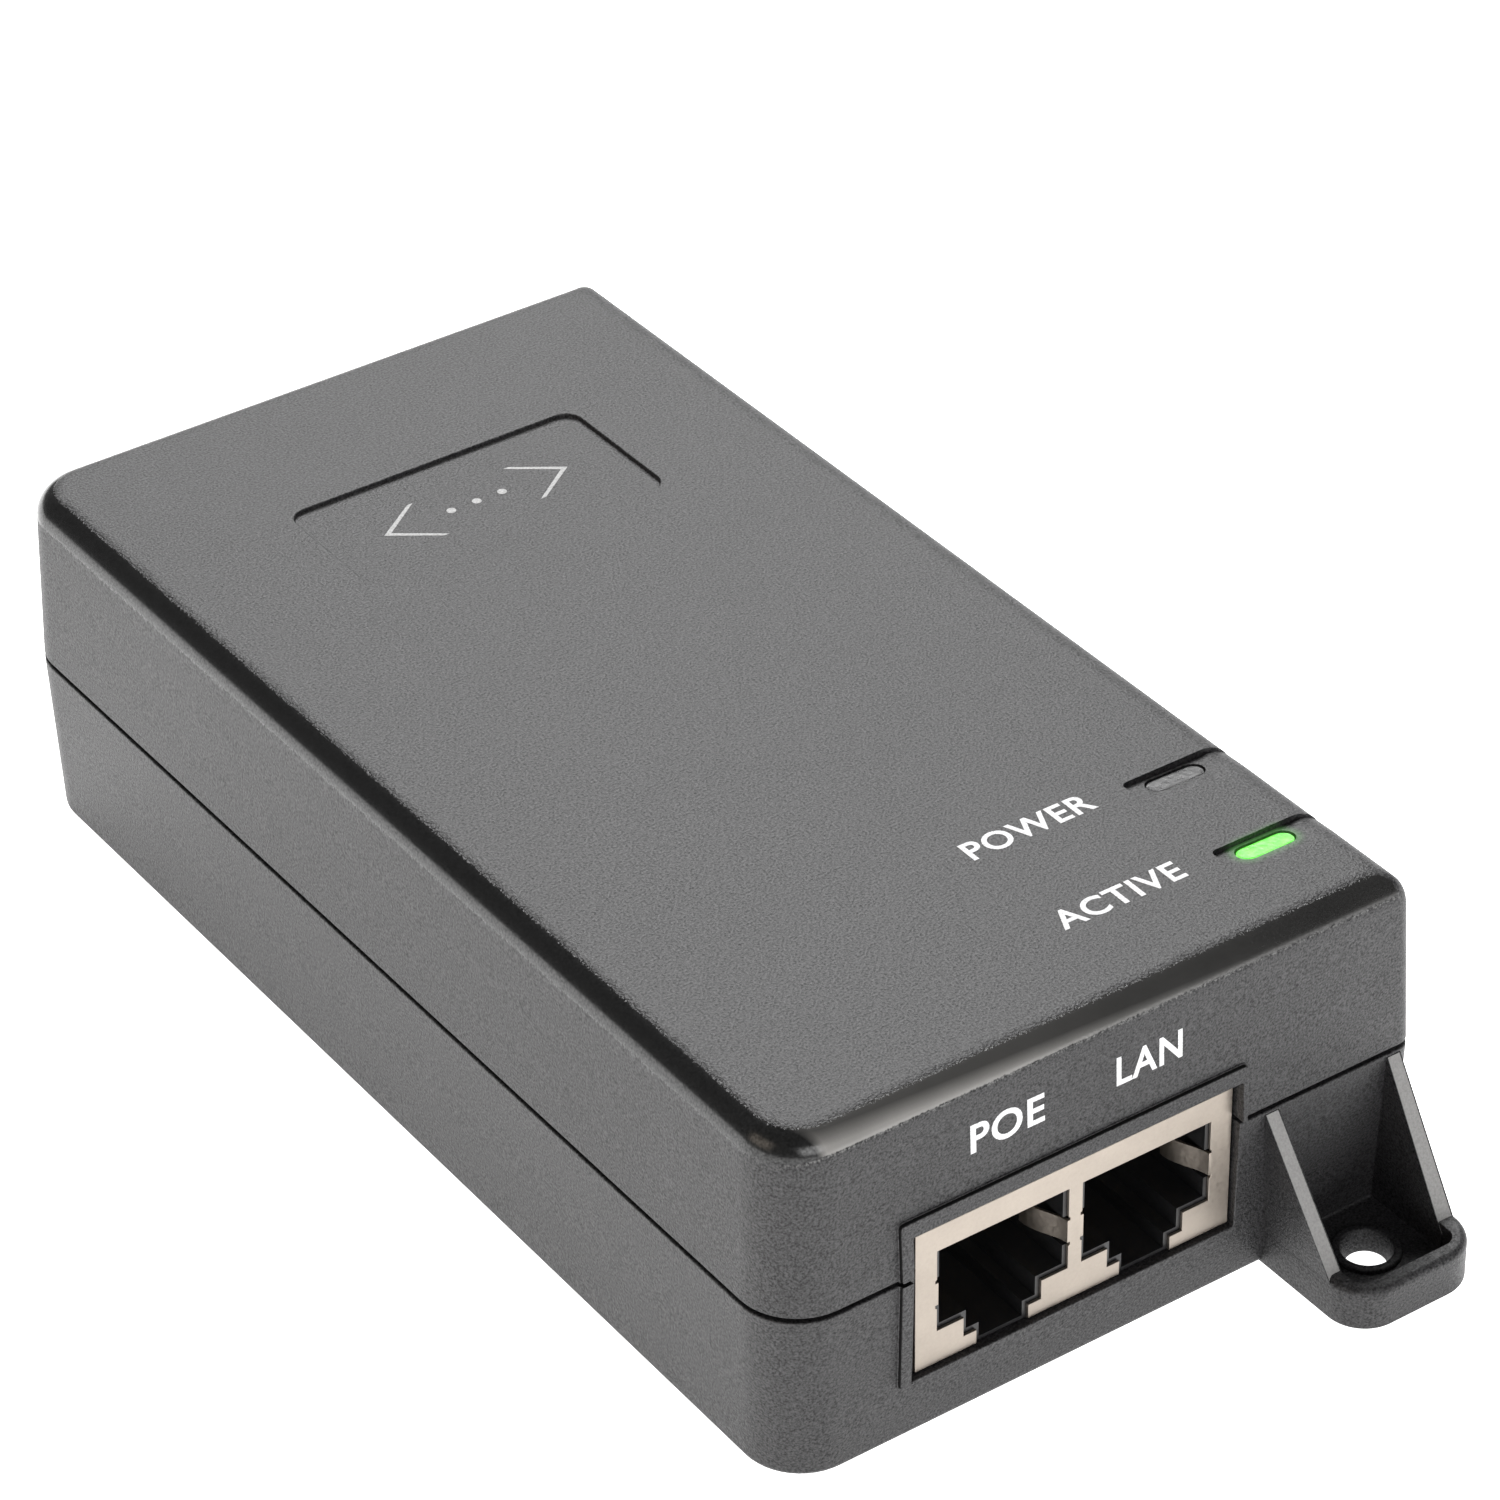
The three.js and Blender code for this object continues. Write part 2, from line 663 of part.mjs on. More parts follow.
// One spring contact, drooping backwards from its bend, with a turned-up tip.
function contactArm(port, number) {
  const { width, thickness, length, pivot_y: y, pivot_z: z } = CONTACT;
  const angle = THREE.MathUtils.degToRad(CONTACT.droop);
  const along = (distance, lift) => [
    y + distance * Math.cos(angle) + lift * Math.sin(angle),
    z - distance * Math.sin(angle) + lift * Math.cos(angle),
  ];
  const shape = outline([
    along(-0.2, -thickness / 2),
    along(length, -thickness / 2),
    along(length + 0.8, 0.35),
    along(length + 0.6, 0.35 + thickness),
    along(length - 0.1, thickness / 2),
    along(-0.2, thickness / 2),
  ]);
  const x = contactX(port, number);
  return extrude(shape, "x", x - width / 2, x + width / 2);
}

// ---- Mains inlet ----

const PIN = { width: 2, height: 4, spread: 7, earth_z: 2, live_z: -2, reach: 12.5 };

function inletBody() {
  const front = BACK_Y - INLET.depth - 2;
  const outside = extrude(inletOutline(INLET.wall), "y", front, BACK_Y - 0.3);
  const inside = extrude(inletOutline(0), "y", BACK_Y - INLET.depth, BACK_Y + 1);
  const feet = [-10, 10].map((x) =>
    box(x - 1.5, x + 1.5, front + 1, front + 9, BOARD.z1, INLET.z - INLET.height / 2),
  );
  const slots = pinPlaces().map(([x, z]) =>
    block(x, front, z - PIN.height / 2 - 0.3, PIN.width + 0.6, 8, PIN.height + 0.6),
  );
  return cut(join([outside, ...feet]), [inside, ...slots]);
}

function pinPlaces() {
  return [
    [-PIN.spread, INLET.z + PIN.live_z],
    [PIN.spread, INLET.z + PIN.live_z],
    [0, INLET.z + PIN.earth_z],
  ];
}

// A flat pin: its blade in the cavity, and a tail turned down into the board.
function inletPin([x, z]) {
  const halfHeight = PIN.height / 2;
  const tip = BACK_Y - INLET.depth + PIN.reach;
  const back = BACK_Y - INLET.depth - 5;
  const blade = outline([
    [back, z - halfHeight],
    [tip - 1, z - halfHeight],
    [tip, z - halfHeight + 1],
    [tip, z + halfHeight - 1],
    [tip - 1, z + halfHeight],
    [back, z + halfHeight],
  ]);
  const tail = box(x - 0.5, x + 0.5, back, back + 2, BOARD.z0 - 0.8, z);
  return extrude(blade, "x", x - PIN.width / 2, x + PIN.width / 2).add(tail);
}

// ---- Board and its parts ----

const TOP = BOARD.z1;

function mainBoard() {
  const board = box(-BOARD.x, BOARD.x, -BOARD.y, BOARD.y, BOARD.z0, BOARD.z1);
  const corners = SCREW_POSTS.map(([x, y]) => {
    const [towardsX, towardsY] = [Math.sign(x), Math.sign(y)];
    return block(x + towardsX * 2, y + towardsY * 2, 0, BOARD.notch + 4, BOARD.notch + 4, 10);
  });
  const tailSlots = Object.values(PORTS).map((x) =>
    block(x, CARRIER.leg_y + 0.5, 0, 8.4, 1, 10),
  );
  const pinSlots = pinPlaces().map(([x]) => block(x, BACK_Y - INLET.depth - 4, 0, 1.8, 2.8, 10));
  return cut(board, [...corners, ...tailSlots, ...pinSlots]);
}

function insulationSheet() {
  const shape = roundedRectangle(-21, 21, -44, 46, 2);
  return extrude(shape, "z", WALL + 0.1, WALL + 0.4);
}

function ratingLabel() {
  return extrude(roundedRectangle(-26, 12, -27, 27, 1.5), "z", 0.15, 0.35);
}

// A through-hole lead from a part down into the board's upper face.
function leads(places, radius, top) {
  return places.map(([x, y]) => rod("z", x, y, radius, TOP, top, 2));
}

function fuse() {
  const body = rod("y", -23, TOP + 3.2, 2.4, 28, 37);
  const caps = [28.5, 36.5].map((y) => rod("y", -23, TOP + 3.2, 2.8, y - 0.9, y + 0.9));
  return join([body, ...caps, ...leads([[-23, 28.5], [-23, 36.5]], 0.4, TOP + 2)]);
}

function xCapacitor() {
  const shape = roundedRectangle(10.5, 19, 20, 38, 0.8);
  const places = [
    [14.7, 22],
    [14.7, 36],
  ];
  return join([extrude(shape, "z", TOP + 0.5, TOP + 15), ...leads(places, 0.4, TOP + 1)]);
}

const CHOKE = { x: -7, y: 31, z: TOP + 11.6, outer: 8.6, inner: 4.6, half: 3 };

function annulus(outer, inner) {
  const shape = new THREE.Shape().absarc(CHOKE.x, CHOKE.z, outer, 0, 2 * Math.PI);
  shape.holes.push(new THREE.Path().absarc(CHOKE.x, CHOKE.z, inner, 0, 2 * Math.PI));
  return shape;
}

function chokeCore() {
  const { y, outer, inner, half } = CHOKE;
  return extrude(annulus(outer, inner), "y", y - half, y + half, 7);
}

// A winding: a sleeve round one side of the ring core.
function chokeWinding(side) {
  const { x, y, z, outer, inner, half } = CHOKE;
  const sleeve = extrude(annulus(outer + 1.8, inner - 1.8), "y", y - half - 1.8, y + half + 1.8, 7);
  const tunnel = extrude(annulus(outer + 0.3, inner - 0.3), "y", y - half - 0.3, y + half + 0.3, 7);
  const [x0, x1] = side < 0 ? [x - 20, x - 1.6] : [x + 1.6, x + 20];
  const sector = box(x0, x1, y - 9, y + 9, z - 9, z + 9);
  const feet = [-1.5, 1.5].map((offset) => rod("z", x + side * 5, y + offset, 0.5, TOP, z - 8.2, 2));
  return join([sleeve.subtract(tunnel).intersect(sector), ...feet]);
}

function bridgeRectifier() {
  const face = outline([
    [12, TOP + 3],
    [27, TOP + 3],
    [27, TOP + 13],
    [25.4, TOP + 14.6],
    [12, TOP + 14.6],
  ]);
  const body = extrude(face, "y", 13.5, 17);
  const pins = [14, 17.8, 21.6, 25.2].map((x) => [x, 15.25]);
  return join([body, ...leads(pins, 0.45, TOP + 4)]);
}

function electrolytic(axis, u, v, radius, from, to) {
  const can = rod(axis, u, v, radius, from, to, 7);
  const groove = rod(axis, u, v, radius + 1, from + 1.6, from + 2.4, 7);
  const neck = rod(axis, u, v, radius - 0.4, from + 1, from + 3, 7);
  return can.subtract(groove).add(neck);
}

function bulkCapacitor() {
  const can = electrolytic("y", -16, TOP + 8.6, 8, -4, 22);
  return join([can, ...leads([[-19, -2.2], [-13, -2.2]], 0.4, TOP + 4)]);
}

function heatsink(x, y0, y1, height) {
  const plate = box(x, x + 1.6, y0, y1, TOP + 0.5, TOP + height);
  const flange = box(x - 2, x + 1.6, y0, y1, TOP + height - 1.6, TOP + height);
  const feet = [y0 + 1.5, y1 - 2.5].map((y) => box(x, x + 1.6, y, y + 1, BOARD.z1, TOP + 1));
  return join([plate, flange, ...feet]);
}

// A three-legged power device that stands against the face of a heatsink.
function powerDevice(x, y) {
  const body = box(x, x + 2.8, y - 5, y + 5, TOP + 5, TOP + 14);
  const tab = box(x, x + 1.2, y - 5, y + 5, TOP + 13.5, TOP + 19);
  const hole = rod("x", y, TOP + 16.6, 1.6, x - 1, x + 2, 4);
  const pins = [-2.54, 0, 2.54].map((offset) => [x + 1.4, y + offset]);
  return join([body, tab.subtract(hole), ...leads(pins, 0.45, TOP + 6)]);
}

const TRANSFORMER = { x: 5.5, y: 0, z: TOP + 2, width: 26, depth: 12, height: 20, leg: 7, window: 6.3 };

function transformerCore() {
  const { x, y, z, width, depth, height, leg, window } = TRANSFORMER;
  const centre = leg / 2 + window / 2;
  const windows = [-centre, centre].map((offset) =>
    block(x + offset, y, z + 3.5, window, depth + 2, height - 7),
  );
  return cut(block(x, y, z, width, depth, height), windows);
}

function transformerBobbin() {
  const { x, y, z, depth, height, leg } = TRANSFORMER;
  const low = z + 3.7;
  const high = z + height - 3.7;
  const flange = (at) => block(x, y, at, 18.4, 20, 0.8);
  const tube = block(x, y, low, leg + 2.2, depth + 2.2, high - low);
  const passage = block(x, y, low - 1, leg + 0.6, depth + 0.6, high - low + 2);
  const rails = [-9, 9].map((offset) => block(x, y + offset, TOP + 0.5, 17, 2, low - TOP));
  const pins = [-9, 9].flatMap((offset) =>
    [-6, -2, 2, 6].map((across) => [x + across, y + offset]),
  );
  const solids = [flange(low), flange(high - 0.8), tube, ...rails, ...leads(pins, 0.4, TOP + 1)];
  return join(solids).subtract(passage);
}

function transformerWinding() {
  const { x, y, z, depth, height, leg } = TRANSFORMER;
  const low = z + 4.7;
  const high = z + height - 4.7;
  const outside = extrude(roundedRectangle(x - 9, x + 9, y - 9.8, y + 9.8, 2), "z", low, high);
  return outside.subtract(block(x, y, low - 1, leg + 2.6, depth + 2.6, high - low + 2));
}

function yCapacitor() {
  const disc = rod("x", 29, TOP + 5.8, 4, 21.4, 24.6, 10);
  return join([disc, ...leads([[23, 26.6], [23, 31.4]], 0.35, TOP + 4)]);
}

function dualInLine(x, y, width, length, height, pins) {
  const [halfX, halfY] = [width / 2, length / 2];
  const plan = roundedRectangle(x - halfX, x + halfX, y - halfY, y + halfY, 0.4);
  const body = extrude(plan, "z", TOP + 0.6, TOP + height);
  const pitch = length / pins;
  const legs = [];
  for (let i = 0; i < pins; i++) {
    const at = y - length / 2 + (i + 0.5) * pitch;
    legs.push(box(x - width / 2 - 1, x + width / 2 + 1, at - 0.25, at + 0.25, TOP + 1.2, TOP + 1.6));
    [-1, 1].forEach((side) => {
      const edge = x + side * (width / 2 + 0.8);
      legs.push(box(edge - 0.2, edge + 0.2, at - 0.25, at + 0.25, TOP, TOP + 1.5));
    });
  }
  return join([body, ...legs]);
}

function outputChoke() {
  const [x, y] = [-9, -20];
  const flanges = [TOP + 0.3, TOP + 9].map((z) => rod("z", x, y, 4.8, z, z + 1.6));
  const wound = rod("z", x, y, 4, TOP + 1, TOP + 10);
  const places = [
    [x - 3, y],
    [x + 3, y],
  ];
  return join([...flanges, wound, ...leads(places, 0.4, TOP + 1)]);
}

// ---- Assembly ----

const COLOURS = {
  plastic: [0x2b2b2d, 0.62, 0],
  black: [0x151517, 0.5, 0],
  nickel: [0xcdc6bc, 0.28, 1],
  gold: [0xd8b35a, 0.3, 1],
  steel: [0xa9acb0, 0.35, 1],
  aluminium: [0xb9bcc0, 0.45, 1],
  clear: [0xb7bab8, 0.15, 0],
  lit: [0x6cf04a, 0.2, 0],
  board: [0x1d5a34, 0.5, 0],
  ferrite: [0x3a3838, 0.7, 0],
  copper: [0xa85a2c, 0.4, 0],
  blue: [0x2a5fa8, 0.5, 0],
  yellow: [0xd9b23a, 0.5, 0],
  sleeve: [0x26303c, 0.4, 0],
  white: [0xe8e8e6, 0.6, 0],
};

const injector = new THREE.Group();

function add(name, colour, made) {
  const [color, roughness, metalness] = COLOURS[colour];
  const material = new THREE.MeshStandardMaterial({ color, roughness, metalness });
  const mesh = new THREE.Mesh(geometryOf(made), material);
  mesh.name = name;
  injector.add(mesh);
}

add("top_cover", "plastic", topCover());
add("bottom_case", "plastic", bottomCase());
SCREW_POSTS.forEach((place, i) => add("case_screw_" + (i + 1), "steel", caseScrew(place)));
add("rating_label", "white", ratingLabel());

["power", "active"].forEach((name, i) => {
  add(name + "_light_pipe", i ? "lit" : "clear", lightPipe(NOTCH_STEPS_Y[i]));
  add(name + "_led", "white", led(NOTCH_STEPS_Y[i]));
});

add("jack_shield", "nickel", jackShield());
add("jack_housing", "black", jackHousing());
Object.keys(PORTS).forEach((port) => {
  add(port + "_contact_carrier", "black", contactCarrier(port));
  for (let number = 1; number <= 8; number++) {
    add(port + "_contact_" + number, "gold", contactArm(port, number));
  }
});

add("inlet_body", "black", inletBody());
["line", "neutral", "earth"].forEach((name, i) => {
  add("inlet_pin_" + name, "nickel", inletPin(pinPlaces()[i]));
});

add("main_pcb", "board", mainBoard());
add("insulation_sheet", "white", insulationSheet());
add("fuse", "white", fuse());
add("x_capacitor", "yellow", xCapacitor());
add("choke_core", "ferrite", chokeCore());
add("choke_winding_line", "copper", chokeWinding(-1));
add("choke_winding_neutral", "copper", chokeWinding(1));
add("bridge_rectifier", "black", bridgeRectifier());
add("bulk_capacitor", "sleeve", bulkCapacitor());
add("primary_heatsink", "aluminium", heatsink(-25.5, -24, -4.3, 21));
add("switching_transistor", "black", powerDevice(-23.85, -14));
add("transformer_core", "ferrite", transformerCore());
add("transformer_bobbin", "black", transformerBobbin());
add("transformer_winding", "yellow", transformerWinding());
add("y_capacitor", "blue", yCapacitor());
add("optocoupler", "black", dualInLine(6, -17, 5, 5, 3.6, 2));
add("secondary_heatsink", "aluminium", heatsink(24, -24, -2, 21));
add("output_rectifier", "black", powerDevice(20.9, -12).mirror([1, 0, 0]).translate([44.6, 0, 0]));
add("output_choke", "ferrite", outputChoke());
add("output_capacitor_1", "sleeve", electrolytic("z", -16, -31, 5, TOP, TOP + 16));
add("output_capacitor_2", "sleeve", electrolytic("z", 14.5, -20, 4, TOP, TOP + 16));
add("poe_magnetics", "black", dualInLine(-3, -31.5, 9, 8, 5.6, 4));
add("lan_magnetics", "black", dualInLine(9.5, -31.5, 9, 8, 5.6, 4));
add("poe_controller_chip", "black", dualInLine(23, 6, 5, 6, 1.9, 4));

export default injector;
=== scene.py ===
"""A power-over-ethernet injector: a black plastic case with a double RJ45 jack, two
indicators, a mains inlet and two screw ears, on a white table under soft studio light.

Shapes are written in millimetres, in the frame's own axes, and scaled as meshes are made."""

import json
import math

import bmesh
import bpy
from mathutils import Matrix, Vector

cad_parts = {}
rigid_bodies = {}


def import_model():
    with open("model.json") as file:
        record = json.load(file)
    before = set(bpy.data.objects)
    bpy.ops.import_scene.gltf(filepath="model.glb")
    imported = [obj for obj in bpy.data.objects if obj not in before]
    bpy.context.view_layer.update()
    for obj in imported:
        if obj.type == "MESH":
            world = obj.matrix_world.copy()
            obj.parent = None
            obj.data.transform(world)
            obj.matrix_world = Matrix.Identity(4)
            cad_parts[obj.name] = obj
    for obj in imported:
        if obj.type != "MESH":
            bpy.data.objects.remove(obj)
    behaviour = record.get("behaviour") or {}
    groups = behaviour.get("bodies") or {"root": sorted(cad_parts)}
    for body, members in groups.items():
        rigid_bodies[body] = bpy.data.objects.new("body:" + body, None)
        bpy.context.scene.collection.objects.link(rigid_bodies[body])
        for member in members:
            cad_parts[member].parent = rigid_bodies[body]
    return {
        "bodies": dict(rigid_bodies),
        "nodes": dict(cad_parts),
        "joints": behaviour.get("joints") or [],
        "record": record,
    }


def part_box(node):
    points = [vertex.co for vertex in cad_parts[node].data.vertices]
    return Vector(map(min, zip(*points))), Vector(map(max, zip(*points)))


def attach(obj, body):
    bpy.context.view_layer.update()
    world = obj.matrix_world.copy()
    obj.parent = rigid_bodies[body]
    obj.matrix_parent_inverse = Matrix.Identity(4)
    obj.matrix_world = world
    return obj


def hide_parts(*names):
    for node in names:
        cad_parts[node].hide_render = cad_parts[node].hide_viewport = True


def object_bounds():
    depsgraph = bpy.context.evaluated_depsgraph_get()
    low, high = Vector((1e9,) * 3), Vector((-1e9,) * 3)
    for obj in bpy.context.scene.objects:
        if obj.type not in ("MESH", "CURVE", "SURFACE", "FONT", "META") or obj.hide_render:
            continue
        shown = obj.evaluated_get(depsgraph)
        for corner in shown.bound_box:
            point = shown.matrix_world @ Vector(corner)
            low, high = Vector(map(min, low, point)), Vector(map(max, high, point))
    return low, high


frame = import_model()
CAD_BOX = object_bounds()
NODES = frame["nodes"]
CASE = "case"
MM = 0.001


def cad_box(name):
    """A CAD node's lowest and highest corners, in millimetres."""
    return tuple(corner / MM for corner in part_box(name))


# ---- Camera ----

CAMERA_AZIMUTH = -34.405
CAMERA_ELEVATION = 34.926
CAMERA_ROLL = -1.038
CAMERA_DISTANCE = 468.5 * MM
CAMERA_RIGHT = 5.909 * MM
CAMERA_UP = 6.362 * MM
SENSOR = 36.0
FOCAL = 3.712 * SENSOR


def make_camera():
    """The camera stands off the middle of the case's height, turned by azimuth,
    elevation and roll, and slid a little across its own view."""
    azimuth, elevation, roll = (
        math.radians(angle) for angle in (CAMERA_AZIMUTH, CAMERA_ELEVATION, CAMERA_ROLL)
    )
    level = math.cos(elevation)
    back = Vector(
        (math.sin(azimuth) * level, -math.cos(azimuth) * level, math.sin(elevation))
    )
    right = Vector((0, 0, 1)).cross(back).normalized()
    up = back.cross(right)
    rolled_right = right * math.cos(roll) + up * math.sin(roll)
    rolled_up = up * math.cos(roll) - right * math.sin(roll)
    place = back * CAMERA_DISTANCE + right * CAMERA_RIGHT + up * CAMERA_UP
    place.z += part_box("top_cover")[1].z / 2
    data = bpy.data.cameras.new("camera")
    data.sensor_width = SENSOR
    data.lens = FOCAL
    data.clip_start = 0.01
    data.clip_end = 20
    camera = bpy.data.objects.new("camera", data)
    turned = Matrix((rolled_right, rolled_up, back)).transposed().to_4x4()
    camera.matrix_world = Matrix.Translation(place) @ turned
    bpy.context.scene.collection.objects.link(camera)
    bpy.context.scene.camera = camera


make_camera()


# ---- Light and floor ----

FLOOR_GLOW = 1.5


def area_light(name, place, target, width, height, power, colour=(1, 1, 1)):
    data = bpy.data.lights.new(name, "AREA")
    data.color = colour
    data.shape = "RECTANGLE"
    data.size = width
    data.size_y = height
    data.energy = power
    light = bpy.data.objects.new(name, data)
    light.location = place
    direction = Vector(target) - Vector(place)
    light.rotation_euler = direction.to_track_quat("-Z", "Y").to_euler()
    bpy.context.scene.collection.objects.link(light)


def make_floor():
    size = 3.0
    mesh = bpy.data.meshes.new("floor")
    corners = [(-size, -size, 0), (size, -size, 0), (size, size, 0), (-size, size, 0)]
    mesh.from_pydata(corners, [], [(0, 1, 2, 3)])
    floor = bpy.data.objects.new("floor", mesh)
    bpy.context.scene.collection.objects.link(floor)
    floor.location.z = CAD_BOX[0].z - 0.00002
    material = bpy.data.materials.new("floor")
    material.use_nodes = True
    shader = material.node_tree.nodes["Principled BSDF"]
    shader.inputs["Base Color"].default_value = (0.85, 0.85, 0.85, 1)
    shader.inputs["Roughness"].default_value = 0.9
    shader.inputs["Emission Color"].default_value = (1, 1, 1, 1)
    shader.inputs["Emission Strength"].default_value = FLOOR_GLOW
    mesh.materials.append(material)


def make_world(seen, reflected):
    """A pale backdrop to the eye, and a dimmer room in reflections."""
    world = bpy.data.worlds.new("studio")
    world.use_nodes = True
    tree = world.node_tree
    background = tree.nodes["Background"]
    background.inputs["Color"].default_value = (1, 1, 1, 1)
    path = tree.nodes.new("ShaderNodeLightPath")
    strength = tree.nodes.new("ShaderNodeMapRange")
    strength.inputs["To Min"].default_value = reflected
    strength.inputs["To Max"].default_value = seen
    tree.links.new(path.outputs["Is Camera Ray"], strength.inputs["Value"])
    tree.links.new(strength.outputs["Result"], background.inputs["Strength"])
    bpy.context.scene.world = world


make_floor()
make_world(seen=1.2, reflected=0.22)
area_light("key", (0.35, 0.55, 0.75), (0, 0, 0), 0.7, 0.7, 13.5)
area_light("front_fill", (-0.25, -1.05, 0.42), (0, 0, 0), 0.7, 0.5, 4.2)
area_light("left_fill", (-1.0, 0.1, 0.45), (0, 0, 0), 0.7, 0.5, 1.6, (1, 0.86, 0.72))
bpy.context.scene.view_settings.view_transform = "Standard"


# ---- Shapes in millimetres ----

SHARP_ANGLE = 32
MERGE_DISTANCE = 1e-7
AXES = {
    # an outline in x and y, at a height z
    "z": lambda u, v, at: (u, v, at),
    # an outline in x and z, at a place along y
    "y": lambda u, v, at: (u, at, v),
    # an outline in y and z, at a place along x
    "x": lambda u, v, at: (at, u, v),
}


def make_object(name, points, faces):
    """A mesh piece with its faces turned outwards."""
    mesh = bpy.data.meshes.new(name)
    mesh.from_pydata([Vector(point) * MM for point in points], [], faces)
    shape = bmesh.new()
    shape.from_mesh(mesh)
    bmesh.ops.recalc_face_normals(shape, faces=shape.faces)
    shape.to_mesh(mesh)
    shape.free()
    made = bpy.data.objects.new(name, mesh)
    bpy.context.scene.collection.objects.link(made)
    return made


def loft(rings, name="solid"):
    """A closed solid through rings that all have the same number of points."""
    count = len(rings[0])
    faces = []
    for level in range(len(rings) - 1):
        for i in range(count):
            a = level * count + i
            b = level * count + (i + 1) % count
            faces.append((a, b, b + count, a + count))
    last = (len(rings) - 1) * count
    faces.append(tuple(reversed(range(count))))
    faces.append(tuple(range(last, last + count)))
    return make_object(name, [point for ring in rings for point in ring], faces)


def grown(points, by):
    """An anticlockwise outline with all its edges moved outwards."""
    moved = []
    count = len(points)
    for i, here in enumerate(points):
        into = (Vector(here) - Vector(points[i - 1])).normalized()
        out = (Vector(points[(i + 1) % count]) - Vector(here)).normalized()
        sides = Vector((into.y, -into.x)), Vector((out.y, -out.x))
        shift = (sides[0] + sides[1]) / (1 + sides[0].dot(sides[1]))
        moved.append(Vector(here) + shift * by)
    return moved


def rounded(points, radius, steps=5):
    """An outline with its corners replaced by arcs. A list gives each corner's radius."""
    radii = radius if isinstance(radius, (list, tuple)) else [radius] * len(points)
    result = []
    count = len(points)
    for i, here in enumerate(points):
        here = Vector(here)
        into = (here - Vector(points[i - 1])).normalized()
        out = (Vector(points[(i + 1) % count]) - here).normalized()
        turn = math.atan2(into.cross(out), into.dot(out))
        if not radii[i]:
            result.append(here)
            continue
        start = here - into * radii[i] * math.tan(abs(turn) / 2)
        side = Vector((-into.y, into.x)) * math.copysign(1, turn)
        for k in range(steps + 1):
            angle = abs(turn) * k / steps
            along = into * math.sin(angle) + side * (1 - math.cos(angle))
            result.append(start + along * radii[i])
    return result


def rectangle(u0, u1, v0, v1, radius=0.0, steps=5):
    return rounded([(u0, v0), (u1, v0), (u1, v1), (u0, v1)], radius, steps)


def circle(u, v, radius, count=48):
    turn = 2 * math.pi / count
    return [
        (u + radius * math.cos(i * turn), v + radius * math.sin(i * turn))
        for i in range(count)
    ]


def stadium(x, y, length, width, steps=10):
    """A slot's outline, along X: two half circles joined by straight sides."""
    radius = width / 2
    reach = length / 2 - radius
    points = []
    for side, start in ((1, -90), (-1, 90)):
        for i in range(steps + 1):
            angle = math.radians(start + 180 * i / steps)
            points.append(
                (x + side * reach + radius * math.cos(angle), y + radius * math.sin(angle))
            )
    return points


def stack(outline, axis, levels, place=None, name="solid"):
    """A solid through copies of an outline, each grown by its own amount at its own
    level: levels is a list of (level, growth)."""
    rings = []
    for level, growth in levels:
        ring = [AXES[axis](u, v, level) for u, v in grown(outline, growth)]
        rings.append([place(point) for point in ring] if place else ring)
    return loft(rings, name)


def quarter(steps):
    return [math.pi / 2 * i / steps for i in range(steps + 1)]


def edged(low, high, low_edge=0.0, high_edge=0.0, steps=3):
    """The levels of a solid whose two end faces have rounded edges."""
    levels = []
    for angle in quarter(steps) if low_edge else [math.pi / 2]:
        inset = low_edge * (1 - math.sin(angle))
        levels.append((low + low_edge * (1 - math.cos(angle)), -inset))
    for angle in reversed(quarter(steps)) if high_edge else [math.pi / 2]:
        inset = high_edge * (1 - math.sin(angle))
        levels.append((high - high_edge * (1 - math.cos(angle)), -inset))
    return levels


def mouth(floor, surface, beyond, lip, floor_edge=0.0, steps=4):
    """The levels of a cutter that leaves a rounded lip at a surface, and a rounded
    bottom edge. The floor may be on either side of the surface."""
    up = math.copysign(1, surface - floor)
    levels = []
    for angle in quarter(steps) if floor_edge else [math.pi / 2]:
        rise = floor_edge * (1 - math.cos(angle))
        levels.append((floor + up * rise, -floor_edge * (1 - math.sin(angle))))
    for angle in quarter(steps):
        rise = lip * math.sin(angle) + 0.004
        levels.append((surface - up * (lip - rise), lip * (1 - math.cos(angle))))
    levels.append((beyond, lip))
    return levels


def box_solid(x0, x1, y0, y1, z0, z1, edge=0.0):
    return stack(rectangle(x0, x1, y0, y1), "z", edged(z0, z1, edge, edge))


def combine(body, others, operation):
    """The body after a boolean with each of the other solids, which are used up."""
    for other in others:
        modifier = body.modifiers.new(operation, "BOOLEAN")
        modifier.operation = operation
        modifier.solver = "EXACT"
        modifier.object = other
    depsgraph = bpy.context.evaluated_depsgraph_get()
    mesh = bpy.data.meshes.new_from_object(body.evaluated_get(depsgraph))
    body.modifiers.clear()
    old = body.data
    body.data = mesh
    bpy.data.meshes.remove(old)
    for other in others:
        spent = other.data
        bpy.data.objects.remove(other)
        bpy.data.meshes.remove(spent)
    return body


def carve(body, cutters):
    return combine(body, cutters, "DIFFERENCE")


def weld(body, solids):
    return combine(body, solids, "UNION")


def polish(piece):
    """Smooth shading that keeps the sharp edges and the flatness of the large faces."""
    shape = bmesh.new()
    shape.from_mesh(piece.data)
    bmesh.ops.remove_doubles(shape, verts=shape.verts, dist=MERGE_DISTANCE)
    bmesh.ops.dissolve_degenerate(shape, edges=shape.edges, dist=MERGE_DISTANCE)
    for face in shape.faces:
        face.smooth = True
    for edge in shape.edges:
        closed = len(edge.link_faces) == 2
        edge.smooth = closed and edge.calc_face_angle(0) < math.radians(SHARP_ANGLE)
    shape.to_mesh(piece.data)
    shape.free()
    modifier = piece.modifiers.new("weighted normals", "WEIGHTED_NORMAL")
    modifier.keep_sharp = True
    modifier.weight = 60


# ---- Case ----

